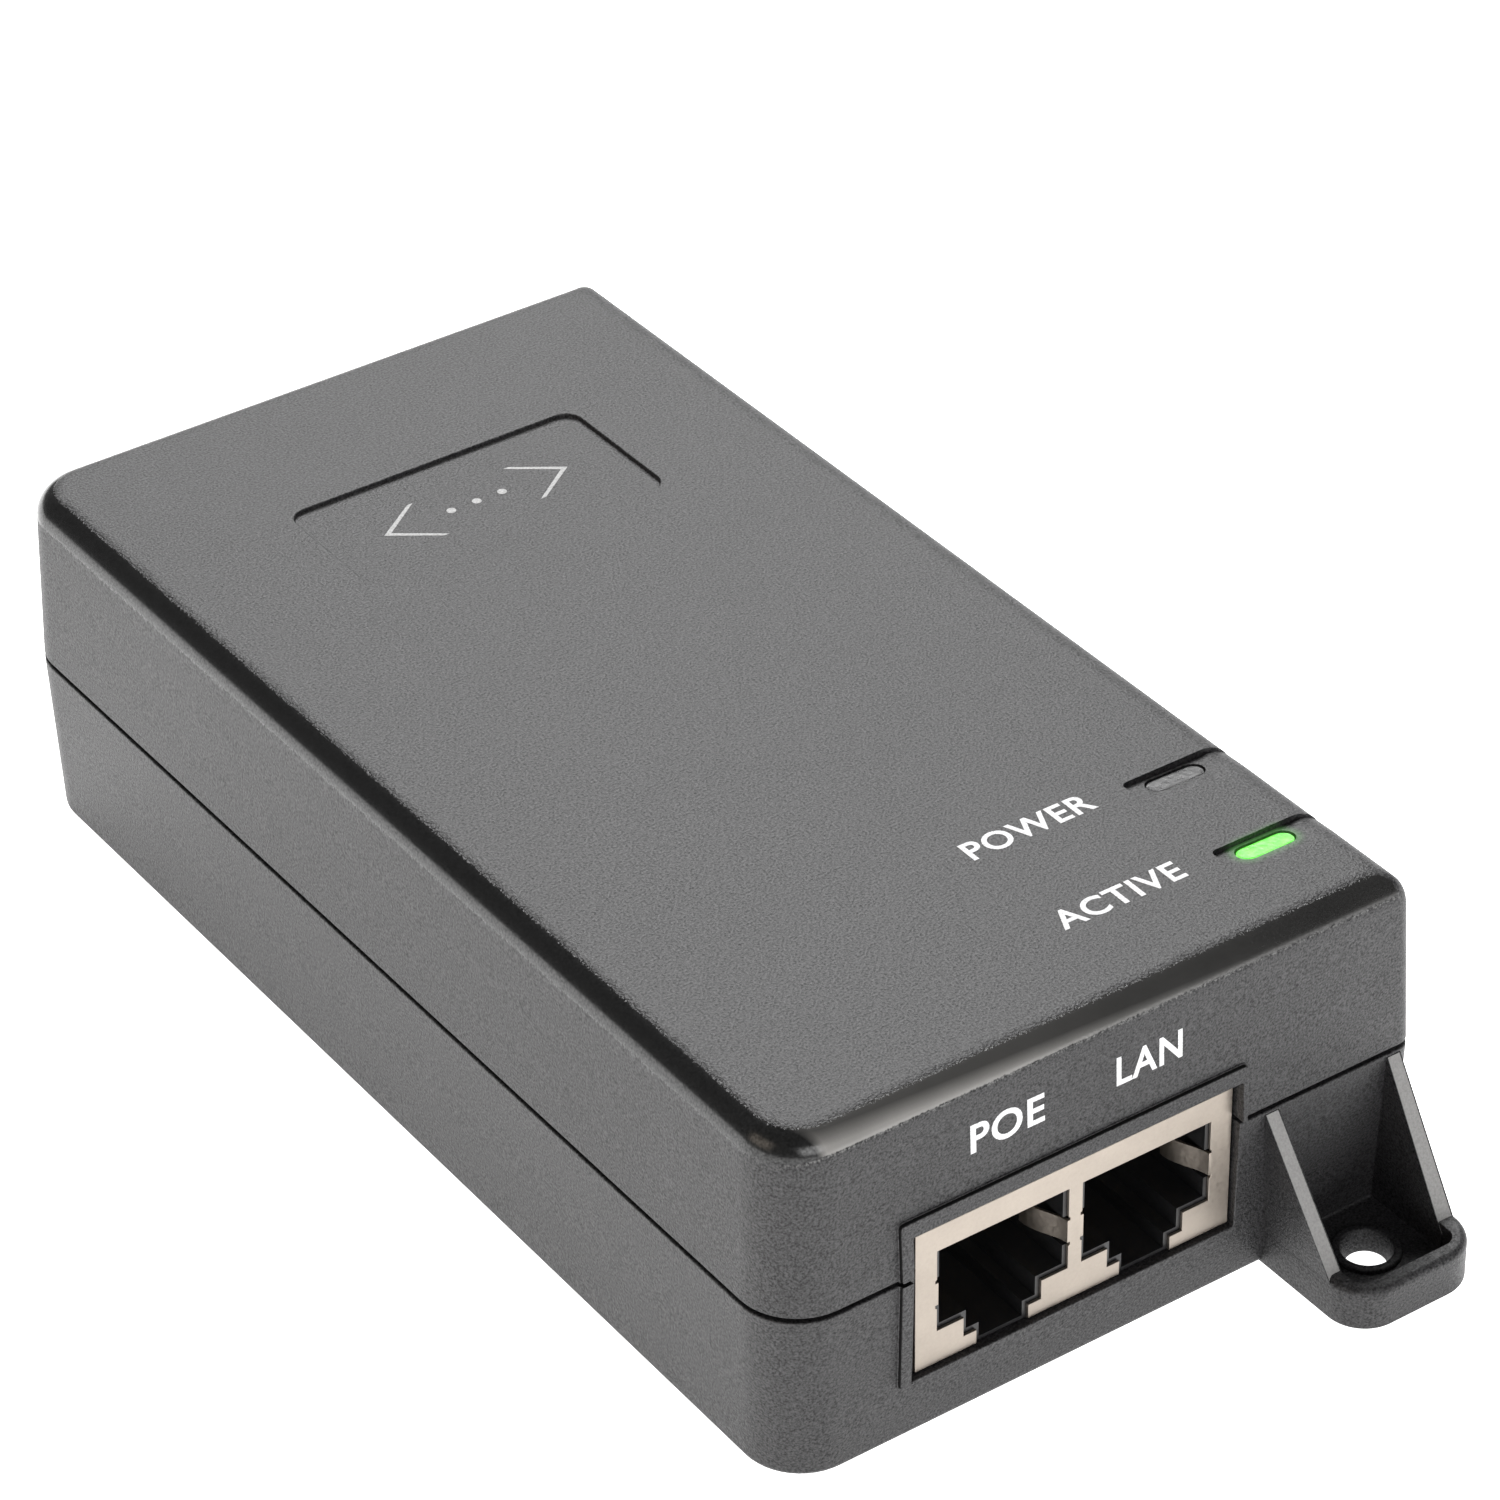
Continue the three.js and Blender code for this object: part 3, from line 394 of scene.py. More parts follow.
HEIGHT = cad_box("top_cover")[1].z
HALF_WIDTH = cad_box("top_cover")[1].x
HALF_LENGTH = cad_box("top_cover")[1].y
FRONT_Y = -HALF_LENGTH
BACK_Y = HALF_LENGTH
EAR_TIP = cad_box("bottom_case")[0].y
WALL = 2.0
PARTING_Z = 16.15
PARTING_GAP = 0.4
PARTING_EDGE = 0.16
CORNER_RADIUS = {"left": 5.3, "right": 1.5}
TOP_LEAN = {"left": 0.6, "right": 0.42, "front": 0.6, "back": 0.05}
BOTTOM_LEAN = {"left": 0.44, "right": 0.44, "front": 0.44, "back": 0.44}
TOP_FILLET = 2.6
RIGHT_FILLET = 3.4
BOTTOM_FILLET = 0.65
TONGUE_HEIGHT = 1.5
TONGUE_INSET = 1.25
REBATE_INSET = 1.05
LABEL = {"x": 0.6, "y": 31.25, "width": 29.2, "length": 15.2, "radius": 1.6, "depth": 0.4}
NOTCH_STEPS_Y = {"power": -34.95, "active": -46.3}
NOTCH_START_X = 19.0
NOTCH_RUN = 4.8
NOTCH_DEPTH = 0.45
NOTCH_EDGE_DEPTH = 0.6
NOTCH_END = 25
NOTCH_CORNER = 0.5
NOTCH_LIFT = 0.08
PIPE = {"x": 23.4, "length": 5.4, "width": 1.9, "ahead": 1.45, "gap": 0.15}
JACK_LOW, JACK_HIGH = cad_box("jack_shield")
OPENING = {"x0": -18.75, "x1": 13.15, "z0": 5.45, "z1": 20.2, "depth": 0.6}
THROAT = {"x0": -18.05, "z1": 19.4}
FRAME = {"x0": -19.85, "x1": 13.6, "z0": 5.4, "z1": 21.7, "raise": 0.4, "root": 0.9}
BEAD = {"width": 0.16, "raise": 0.1}
INLET = {"z": 16.3, "width": 24, "height": 16.6, "chamfer": 4.6, "wall": 1.7, "depth": 16}
INLET_FOOT = {"x": 10, "half_x": 1.5, "length": 8}
SCREW_POSTS = [(-25.6, -52.8), (25.6, -52.8), (25.6, 52.8), (-25.6, 52.8)]
COVER_POST = {"radius": 2.7, "low": 8.3}
BASE_POST = {"radius": 3.6, "low": 0.5, "high": 8}
SCREW_BORE = {"radius": 1.6, "top": 18}
SCREW_HEAD = {"radius": 3, "depth": 3, "lip": 0.25}
BOARD_SEAT = {"x": 27.6, "half_x": 1.7, "half_y": 2.5, "low": 1, "high": 3.6}
BOARD_SEATS_Y = (-25, 0, 25)
LABEL_FIELD = {"x0": -26.2, "x1": 12.2, "half_y": 27.2, "radius": 1.7, "depth": 0.4}


def rounded_in(radius, z):
    """How far a rounded top edge has drawn in at a height."""
    rise = max(z - (HEIGHT - radius), 0)
    return radius - math.sqrt(max(radius**2 - rise**2, 0))


def wall_lean(side, z):
    """How far a side wall has leaned in at a height. On the right that includes the
    rounding that its top edge has over the other sides'."""
    above = z >= PARTING_Z
    full = (TOP_LEAN if above else BOTTOM_LEAN)[side]
    run = HEIGHT - TOP_FILLET - PARTING_Z if above else PARTING_Z
    lean = full * min(abs(z - PARTING_Z) / run, 1)
    if side == "right":
        lean += rounded_in(RIGHT_FILLET, z) - rounded_in(TOP_FILLET, z)
    return lean


def case_ring(inset, z, steps=12):
    """The case in plan at a height, drawn in from its side walls by an inset."""
    left, right = (max(CORNER_RADIUS[side] - inset, 0.8) for side in ("left", "right"))
    x0 = inset + wall_lean("left", z) - HALF_WIDTH
    x1 = HALF_WIDTH - inset - wall_lean("right", z)
    y0 = inset + wall_lean("front", z) - HALF_LENGTH
    y1 = HALF_LENGTH - inset - wall_lean("back", z)
    corners = [(x0, y0), (x1, y0), (x1, y1), (x0, y1)]
    plan = rounded(corners, [left, right, right, left], steps)
    return [(point.x, point.y, z) for point in plan]


def cover_outside():
    low = PARTING_Z + PARTING_GAP / 2
    rings = []
    for angle in quarter(3):
        inset = PARTING_EDGE * (1 - math.sin(angle))
        rings.append(case_ring(inset, low + PARTING_EDGE * (1 - math.cos(angle))))
    for angle in quarter(16):
        z = HEIGHT - RIGHT_FILLET * (1 - math.sin(angle))
        rings.append(case_ring(rounded_in(TOP_FILLET, z), z))
    return loft(rings, "case_cover")


def notch_cutter(step_y, lower=0.0):
    """The ramped notch that a step starts, over the cover's right edge, where it gets
    shallower until it runs out."""
    side = HALF_WIDTH - TOP_LEAN["right"]
    bend = side - RIGHT_FILLET
    steps = 14

    def profile(drop, edge_drop):
        points = [(NOTCH_START_X, HEIGHT + 2), (NOTCH_START_X, HEIGHT - drop)]
        for i in range(steps + 1):
            share = 1 - i / steps
            angle = math.radians(NOTCH_END + (90 - NOTCH_END) * share)
            radius = RIGHT_FILLET + NOTCH_LIFT - (edge_drop + NOTCH_LIFT) * share
            x = bend + radius * math.cos(angle)
            points.append((x, HEIGHT - RIGHT_FILLET + radius * math.sin(angle)))
        return points + [(side + 2, HEIGHT - RIGHT_FILLET), (side + 2, HEIGHT + 2)]

    low = profile(-NOTCH_LIFT, -NOTCH_LIFT)
    high = profile(NOTCH_DEPTH, NOTCH_EDGE_DEPTH)
    cutter = loft(
        [
            [(x, step_y - NOTCH_RUN, z - lower) for x, z in low],
            [(x, step_y, z - lower) for x, z in high],
        ]
    )
    corner = box_solid(
        NOTCH_START_X - 0.1,
        NOTCH_START_X + NOTCH_CORNER,
        step_y - NOTCH_CORNER,
        step_y + 0.1,
        HEIGHT - 1,
        HEIGHT + 3,
    )
    centre = (NOTCH_START_X + NOTCH_CORNER, step_y - NOTCH_CORNER)
    levels = [(HEIGHT - 2, 0), (HEIGHT + 4, 0)]
    carve(corner, [stack(circle(*centre, NOTCH_CORNER, 40), "z", levels)])
    return carve(cutter, [corner])


def front_place(above):
    """Puts a point given by its depth behind the front wall's face, with the lean of
    the wall above or below the parting line. The depth is the point's y."""
    lean = (TOP_LEAN if above else BOTTOM_LEAN)["front"]
    run = HEIGHT - TOP_FILLET - PARTING_Z if above else -PARTING_Z

    def place(point):
        x, depth, z = point
        return (x, FRONT_Y + lean * (z - PARTING_Z) / run + depth, z)

    return place


def jack_cutters(above):
    """The jack's stepped opening, with a rounded lip."""
    x0, x1, z0, z1 = (OPENING[key] for key in ("x0", "x1", "z0", "z1"))
    surface = -FRAME["raise"] if above else 0
    levels = mouth(OPENING["depth"], surface, -2, 0.12)
    place = front_place(above)
    throat = rectangle(THROAT["x0"], x1, z0, THROAT["z1"], 0.2)
    return [
        stack(rectangle(x0, x1, z0, z1, 0.2), "y", levels, place),
        stack(throat, "y", [(0, 0), (5, 0)], place),
    ]


def frame_part(x0, x1, z0, z1, above):
    """A part of the raised frame round the jack's opening, with a thin bead round its
    foot. It ends flat at the parting line."""
    middle = PARTING_Z
    low, high = (middle, z1) if above else (z0, middle)
    plan = rectangle(x0, x1, low, high, 0.35, 4)
    crest, width = -BEAD["raise"], BEAD["width"]
    levels = [
        (FRAME["root"], width),
        (crest * 0.3, width),
        (crest * 0.8, width * 0.8),
        (crest, width * 0.45),
        (crest * 0.7, 0.02),
    ]
    top, edge = -FRAME["raise"], 0.1
    for angle in reversed(quarter(4)):
        levels.append((top + edge * (1 - math.cos(angle)), -edge * (1 - math.sin(angle))))
    part = stack(plan, "y", levels, front_place(above))
    gap = PARTING_GAP / 2
    low, high = (middle - 2, middle + gap) if above else (middle - gap, middle + 2)
    return carve(part, [box_solid(x0 - 2, x1 + 2, FRONT_Y - 3, FRONT_Y + 3, low, high)])


def inlet_outline(grow):
    """The inlet's outline: its two upper corners, on the earth pin's side, are cut."""
    x = INLET["width"] / 2 + grow
    z = INLET["height"] / 2 + grow
    c = INLET["chamfer"] + grow * 0.6
    points = [(-x, -z), (x, -z), (x, z - c), (x - c, z), (c - x, z), (-x, z - c)]
    points = [(u, v + INLET["z"]) for u, v in points]
    return rounded(points, 0.5 + grow * 0.3, 4)


def inlet_cutter():
    outline = inlet_outline(INLET["wall"] + 0.2)
    return stack(outline, "y", mouth(BACK_Y - WALL - 2, BACK_Y, BACK_Y + 1, 0.25))


def post(x, y, radius, low, high):
    return stack(circle(x, y, radius, 32), "z", edged(low, high, 0.15, 0.15))


def screw_bore(x, y, low, high):
    return stack(circle(x, y, SCREW_BORE["radius"], 24), "z", [(low, 0), (high, 0)])


def top_cover():
    cover = cover_outside()
    inner_top = HEIGHT - WALL
    inside = loft(
        [
            case_ring(WALL, PARTING_Z - 1, 6),
            case_ring(WALL, inner_top - 1, 6),
            case_ring(WALL + 1, inner_top, 6),
        ]
    )
    rebate_top = PARTING_Z + TONGUE_HEIGHT + 0.4
    rebate = loft(
        [case_ring(REBATE_INSET, PARTING_Z - 1), case_ring(REBATE_INSET, rebate_top)]
    )
    carve(cover, [inside, rebate])
    radius, low = COVER_POST["radius"], COVER_POST["low"]
    weld(cover, [post(x, y, radius, low, inner_top + 0.5) for x, y in SCREW_POSTS])
    weld(cover, [frame_part(FRAME["x0"], FRAME["x1"], FRAME["z0"], FRAME["z1"], True)])
    half_x, half_y = LABEL["width"] / 2, LABEL["length"] / 2
    field = rectangle(
        LABEL["x"] - half_x,
        LABEL["x"] + half_x,
        LABEL["y"] - half_y,
        LABEL["y"] + half_y,
        LABEL["radius"],
        8,
    )
    recess = stack(field, "z", mouth(HEIGHT - LABEL["depth"], HEIGHT, HEIGHT + 1, 0.16, 0.12))
    pilots = [screw_bore(x, y, 0, SCREW_BORE["top"]) for x, y in SCREW_POSTS]
    slots = []
    for step_y in NOTCH_STEPS_Y.values():
        gap = 2 * PIPE["gap"]
        shape = stadium(
            PIPE["x"], step_y - PIPE["ahead"], PIPE["length"] + gap, PIPE["width"] + gap
        )
        slots.append(stack(shape, "z", [(HEIGHT - WALL - 1, 0), (HEIGHT + 1, 0)]))
    carve(cover, [recess, *jack_cutters(True), inlet_cutter(), *pilots])
    carve(cover, [notch_cutter(step_y) for step_y in NOTCH_STEPS_Y.values()])
    carve(cover, slots)
    return cover


def bottom_outside():
    rings = []
    for angle in quarter(6):
        inset = BOTTOM_FILLET * (1 - math.sin(angle))
        rings.append(case_ring(inset, BOTTOM_FILLET * (1 - math.cos(angle))))
    high = PARTING_Z - PARTING_GAP / 2
    for angle in reversed(quarter(3)):
        inset = PARTING_EDGE * (1 - math.sin(angle))
        rings.append(case_ring(inset, high - PARTING_EDGE * (1 - math.cos(angle))))
    return loft(rings, "case_base")


EAR = {
    "x0": 16.35,
    "x1": 29.7,
    "rim_z": 3.9,
    "rim_edge": 0.7,
    "floor_z": 1.45,
    "collar_z": 1.9,
    "radius": {"left": 3.5, "right": 3.9},
}
EAR_POCKET = {"x0": 17.75, "x1": 27.85, "wall": 1.5, "radius": 1.2}
EAR_HOLE = {"x": 22.9, "inset": 6.65, "top_radius": 2.2, "bottom_radius": 1.75}
RIB_TOP_Z = 15.65
RIB_END = 3.9
EAR_ROOT_Y = FRONT_Y + 1.5
# The sides of each rib, at the ear's rim and at the rib's top
RIBS = [
    {"foot": (16.35, 17.75), "top": (15.65, 17.0)},
    {"foot": (27.75, 29.35), "top": (28.1, 29.45)},
]


def ear_rib(rib, side):
    """A sloping web whose two sides lean outwards."""

    def place(point):
        share = (point[2] - EAR["rim_z"]) / (RIB_TOP_Z - EAR["rim_z"])
        left, right = (foot + (top - foot) * share for foot, top in zip(rib["foot"], rib["top"]))
        return (left + (right - left) * point[0], point[1] * side, point[2])

    rim_z, sink = EAR["rim_z"], EAR["rim_edge"] + 0.2
    slope_end = EAR_TIP + RIB_END
    slope_end -= sink * (FRONT_Y - slope_end) / (RIB_TOP_Z - rim_z)
    slope = [
        (slope_end, 0.5),
        (slope_end, rim_z - sink),
        (FRONT_Y - 0.05, RIB_TOP_Z),
        (EAR_ROOT_Y, RIB_TOP_Z),
        (EAR_ROOT_Y, 0.5),
    ]
    return stack(slope, "x", edged(0, 1, 0.06, 0.06, 3), place)


def ear(side):
    """One screw ear: a plate with a rounded rim, two sloping ribs and a tapered screw
    hole in a low collar. side is 1 for the front ear and -1 for the back one."""
    x0, x1, rim_z = EAR["x0"], EAR["x1"], EAR["rim_z"]
    left, right = EAR["radius"]["left"], EAR["radius"]["right"]

    def place(point):
        return (point[0], point[1] * side, point[2])

    corners = [(x0, EAR_TIP), (x1, EAR_TIP), (x1, EAR_ROOT_Y), (x0, EAR_ROOT_Y)]
    plan = rounded(corners, [left, right, 0, 0], 14)
    plate = stack(plan, "z", edged(0, rim_z, 0.1, EAR["rim_edge"], 6), place, "ear")
    pocket = EAR_POCKET
    near, far = EAR_TIP + pocket["wall"], FRONT_Y + BOTTOM_LEAN["front"]
    corners = [(pocket["x0"], near), (pocket["x1"], near), (pocket["x1"], far), (pocket["x0"], far)]
    plan = rounded(corners, [pocket["radius"], pocket["radius"], 0, 0], 10)
    carve(plate, [stack(plan, "z", mouth(EAR["floor_z"], rim_z, rim_z + 1, 0.12, 0.3), place)])
    weld(plate, [ear_rib(rib, side) for rib in RIBS])
    centre = (EAR_HOLE["x"], EAR_TIP + EAR_HOLE["inset"])
    collar_z = EAR["collar_z"]
    outside = circle(*centre, EAR_HOLE["top_radius"] + 0.7)
    weld(plate, [stack(outside, "z", edged(1, collar_z, 0, 0.25, 5), place)])
    slope = (EAR_HOLE["top_radius"] - EAR_HOLE["bottom_radius"]) / collar_z
    lip = mouth(-0.5, collar_z, rim_z + 1, 0.2)
    bore = [(level, growth + slope * min(level, collar_z)) for level, growth in lip]
    return carve(plate, [stack(circle(*centre, EAR_HOLE["bottom_radius"]), "z", bore, place)])


def bottom_case():
    base = bottom_outside()
    low, high = PARTING_Z - 1, PARTING_Z + TONGUE_HEIGHT
    tongue = loft([case_ring(TONGUE_INSET, low), case_ring(TONGUE_INSET, high)])
    frame = frame_part(FRAME["x0"], OPENING["x0"] + 0.4, FRAME["z0"], FRAME["z1"], False)
    weld(base, [tongue, ear(1), ear(-1), frame])
    inside = loft([case_ring(WALL, WALL, 6), case_ring(WALL, high + 1, 6)])
    carve(base, [inside])
    radius, low, high = (BASE_POST[key] for key in ("radius", "low", "high"))
    weld(base, [post(x, y, radius, low, high) for x, y in SCREW_POSTS])
    seat = BOARD_SEAT
    seats = []
    for x in (-seat["x"], seat["x"]):
        x0, x1 = x - seat["half_x"], x + seat["half_x"]
        for y in BOARD_SEATS_Y:
            y0, y1 = y - seat["half_y"], y + seat["half_y"]
            seats.append(box_solid(x0, x1, y0, y1, seat["low"], seat["high"], 0.1))
    weld(base, seats)
    bores = []
    head = mouth(SCREW_HEAD["depth"], 0, -1, SCREW_HEAD["lip"])
    for x, y in SCREW_POSTS:
        bores.append(screw_bore(x, y, -1, high + 1))
        bores.append(stack(circle(x, y, SCREW_HEAD["radius"], 40), "z", head))
    x0, x1, half_y = LABEL_FIELD["x0"], LABEL_FIELD["x1"], LABEL_FIELD["half_y"]
    field = rectangle(x0, x1, -half_y, half_y, LABEL_FIELD["radius"], 6)
    label_field = stack(field, "z", mouth(LABEL_FIELD["depth"], 0, -1, 0.12))
    carve(base, [*bores, label_field, *jack_cutters(False), inlet_cutter()])
    return base


# ---- Jack, indicators and inlet ----

SHEET = 0.25
PORT_PITCH = 13.97
JACK_X = (JACK_LOW.x + JACK_HIGH.x) / 2
JACK_FACE_Y = JACK_LOW.y
PORTS_X = (JACK_X - PORT_PITCH / 2, JACK_X + PORT_PITCH / 2)
WINDOW = {"half": 6.32, "z0": 8.85, "z1": 16.75, "step1": 3.75, "step1_z": 7, "step2": 2.5}
FINGER = {"z0": 11.4, "z1": 13.6, "length": 4.4, "tip": 1.25, "bow": 1.15, "relief": 0.16}
FINGER_TURN_BACK = {"from": 0.8, "by": 0.25}
PIPE_FLANGE = {"reach": 1.6, "below": 1.1, "height": 0.8}
# The light pipe's domed end: each step's depth under the ramp, and its growth
PIPE_DOME = [(0.16, 0.0), (0.09, -0.07), (0.06, -0.16)]


def keyhole(x, bottom):
    """A port's window: the plug's body above, its latch in two steps below, with a
    small relief on both sides where the shield's fingers bend in."""
    hole, relief = WINDOW, FINGER["relief"]
    right = [
        (hole["step2"], bottom),
        (hole["step2"], hole["step1_z"]),
        (hole["step1"], hole["step1_z"]),
        (hole["step1"], hole["z0"]),
        (hole["half"], hole["z0"]),
        (hole["half"], FINGER["z0"] - 0.35),
        (hole["half"] + relief, FINGER["z0"] - 0.25),
        (hole["half"] + relief, FINGER["z1"] + 0.25),
        (hole["half"], FINGER["z1"] + 0.35),
        (hole["half"], hole["z1"]),
    ]
    left = [(-u, v) for u, v in reversed(right)]
    return [(x + u, v) for u, v in right + left]


def spring_finger(x, side):
    """A finger of the shield, bent smoothly back into a port from its window's edge."""
    root = x + side * (WINDOW["half"] + 0.02)
    middle = []
    for i in range(9):
        along = i / 8
        bend = math.sin(along * math.pi / 2) ** 1.5 * FINGER["bow"]
        bend -= FINGER_TURN_BACK["by"] * max(along - FINGER_TURN_BACK["from"], 0)
        middle.append((root - side * FINGER["tip"] * bend, JACK_FACE_Y + FINGER["length"] * along))
    inner = [(u - side * SHEET / 2, v) for u, v in middle]
    outer = [(u + side * (SHEET / 2 + 0.06), v) for u, v in middle]
    plan = inner + outer[::-1]
    if side > 0:
        plan.reverse()
    return stack(plan, "z", edged(FINGER["z0"], FINGER["z1"], 0.05, 0.05, 2))


def jack_shield():
    """The folded nickel-plated shell of the double jack."""
    x0, x1 = JACK_LOW.x, JACK_HIGH.x
    z0, z1 = JACK_LOW.z, JACK_HIGH.z
    plan = rectangle(x0, x1, z0, z1, 0.12, 4)
    shell = stack(plan, "y", edged(JACK_FACE_Y, JACK_HIGH.y, 0.1, 0.1), name="jack_shell")
    inside = box_solid(
        x0 + SHEET, x1 - SHEET, JACK_FACE_Y + SHEET, JACK_HIGH.y - SHEET, z0 - 1, z1 - SHEET
    )
    windows = []
    for x in PORTS_X:
        outline = keyhole(x, z0 - 1)
        levels = mouth(JACK_FACE_Y + 1, JACK_FACE_Y, JACK_FACE_Y - 1, 0.05)
        windows.append(stack(outline, "y", levels))
    carve(shell, [inside, *windows])
    fingers = [spring_finger(x, side) for x in PORTS_X for side in (-1, 1)]
    return weld(shell, fingers)


def light_pipe(step_y, name):
    """A clear light pipe whose rounded end lies just under the notch's ramp."""
    x, y = PIPE["x"], step_y - PIPE["ahead"]
    foot = cad_box(name)[0].z
    plan = stadium(x, y, PIPE["length"], PIPE["width"])
    stem = stack(plan, "z", edged(foot, HEIGHT + 0.2, 0.1), name=name + "_lens")
    reach, low = PIPE_FLANGE["reach"], HEIGHT - WALL - PIPE_FLANGE["below"]
    rim = stadium(x, y, PIPE["length"] + reach, PIPE["width"] + reach)
    weld(stem, [stack(rim, "z", edged(low, low + PIPE_FLANGE["height"], 0.1, 0.1))])
    for lower, growth in PIPE_DOME:
        cutter = notch_cutter(step_y, lower)
        if growth:
            keep = stadium(x, y, PIPE["length"] + 2 * growth, PIPE["width"] + 2 * growth)
            step = stack(keep, "z", [(HEIGHT - 1.2, 0), (HEIGHT + 0.2, 0)])
            carve(step, [cutter])
            weld(stem, [step])
        else:
            carve(stem, [cutter])
    return stem


PIN = {"width": 2, "height": 4, "spread": 7, "earth_z": 2, "live_z": -2}


def pin_outlines(margin, radius):
    """The outlines of the line, neutral and earth pins, with a margin round each."""
    half_x, half_z = PIN["width"] / 2 + margin, PIN["height"] / 2 + margin
    places = [
        (-PIN["spread"], INLET["z"] + PIN["live_z"]),
        (PIN["spread"], INLET["z"] + PIN["live_z"]),
        (0, INLET["z"] + PIN["earth_z"]),
    ]
    return [rectangle(x - half_x, x + half_x, z - half_z, z + half_z, radius) for x, z in places]


def inlet_body():
    """The mains inlet's moulding: a socket with a rounded mouth, the raised base that
    its pins stand in, and two feet on the board."""
    low = cad_box("inlet_body")[0]
    front = BACK_Y - INLET["depth"] - 2
    levels = edged(front, BACK_Y - 0.3, 0.2, 0.2)
    body = stack(inlet_outline(INLET["wall"]), "y", levels, name="inlet_socket")
    hollow = mouth(BACK_Y - INLET["depth"], BACK_Y - 0.3, BACK_Y + 1, 0.3, 0.3)
    carve(body, [stack(inlet_outline(0), "y", hollow)])
    pad = edged(front + 1, BACK_Y - INLET["depth"] + 0.7, 0, 0.2)
    pads = [stack(outline, "y", pad) for outline in pin_outlines(0.9, 0.6)]
    foot_z = INLET["z"] - INLET["height"] / 2
    feet = []
    for x in (-INLET_FOOT["x"], INLET_FOOT["x"]):
        x0, x1 = x - INLET_FOOT["half_x"], x + INLET_FOOT["half_x"]
        y0, y1 = front + 1, front + 1 + INLET_FOOT["length"]
        feet.append(box_solid(x0, x1, y0, y1, low.z, foot_z, 0.1))
    weld(body, [*pads, *feet])
    slot = [(front - 1, 0), (BACK_Y - INLET["depth"] + 2, 0)]
    return carve(body, [stack(outline, "y", slot) for outline in pin_outlines(0.05, 0.1)])


# ---- Print ----

INK = 0.02
SYMBOL = {"tip": 9.4, "wide": 4.2, "tall": 3.0, "line": 0.42, "dot": 0.42, "dot_pitch": 2.6}


def flat_mesh(name, outlines, low, high):
    """Thin printed shapes on a level face, each an outline a hair thick, as one piece."""
    points, faces = [], []
    for outline in outlines:
        start, count = len(points), len(outline)
        for level in (low, high):
            points += [(x, y, level) for x, y in outline]
        faces.append(tuple(reversed(range(start, start + count))))
        faces.append(tuple(range(start + count, start + 2 * count)))
        for i in range(count):
            a, b = start + i, start + (i + 1) % count
            faces.append((a, b, b + count, a + count))
    return make_object(name, points, faces)


def lettering(name, word, x0, x1, v0, v1, place):
    """A generic word in a plain face, fitted to a rectangle of the surface. place takes
    (x, v, lift) in millimetres."""
    curve = bpy.data.curves.new(name, "FONT")
    curve.body = word
    curve.resolution_u = 6
    curve.extrude = 0.01
    curve.space_character = 1.08
    curve.offset = 0.018
    written = bpy.data.objects.new(name, curve)
    bpy.context.scene.collection.objects.link(written)
    depsgraph = bpy.context.evaluated_depsgraph_get()
    mesh = bpy.data.meshes.new_from_object(written.evaluated_get(depsgraph))
    bpy.data.objects.remove(written)
    mesh.name = name
    spots = [vertex.co.copy() for vertex in mesh.vertices]
    low = [min(spot[i] for spot in spots) for i in range(3)]
    high = [max(spot[i] for spot in spots) for i in range(3)]
    for vertex in mesh.vertices:
        share = [(vertex.co[i] - low[i]) / (high[i] - low[i]) for i in range(3)]
        x = x0 + (x1 - x0) * share[0]
        v = v0 + (v1 - v0) * share[1]
        vertex.co = Vector(place(x, v, (share[2] * 2 - 0.5) * INK)) * MM
    shape = bmesh.new()
    shape.from_mesh(mesh)
    bmesh.ops.remove_doubles(shape, verts=shape.verts, dist=MERGE_DISTANCE)
    bmesh.ops.recalc_face_normals(shape, faces=shape.faces)
    shape.to_mesh(mesh)
    shape.free()
    piece = bpy.data.objects.new(name, mesh)
    bpy.context.scene.collection.objects.link(piece)
    return piece


def on_top(x, v, lift):
    return (x, v, HEIGHT + lift)


def on_front(x, v, lift):
    return front_place(True)((x, -lift, v))


def network_symbol():
    """A generic network mark in the label field: two chevrons and three dots."""
    x, y = LABEL["x"] + 0.1, LABEL["y"] + 0.4
    tall = SYMBOL["tall"]
    cut = SYMBOL["line"] * 1.25
    shapes = []
    for side in (-1, 1):
        tip = x + side * SYMBOL["tip"]
        root = tip - side * SYMBOL["wide"]
        chevron = [
            (tip, y),
            (root, y + tall),
            (root - side * cut, y + tall),
            (tip - side * cut * 1.32, y),
            (root - side * cut, y - tall),
            (root, y - tall),
        ]
        shapes.append(chevron if side > 0 else chevron[::-1])
    for i in (-1, 0, 1):
        shapes.append(circle(x + i * SYMBOL["dot_pitch"], y, SYMBOL["dot"], 24))
    floor = HEIGHT - LABEL["depth"]
    return flat_mesh("network_symbol", shapes, floor - INK, floor + INK)


# ---- Materials ----


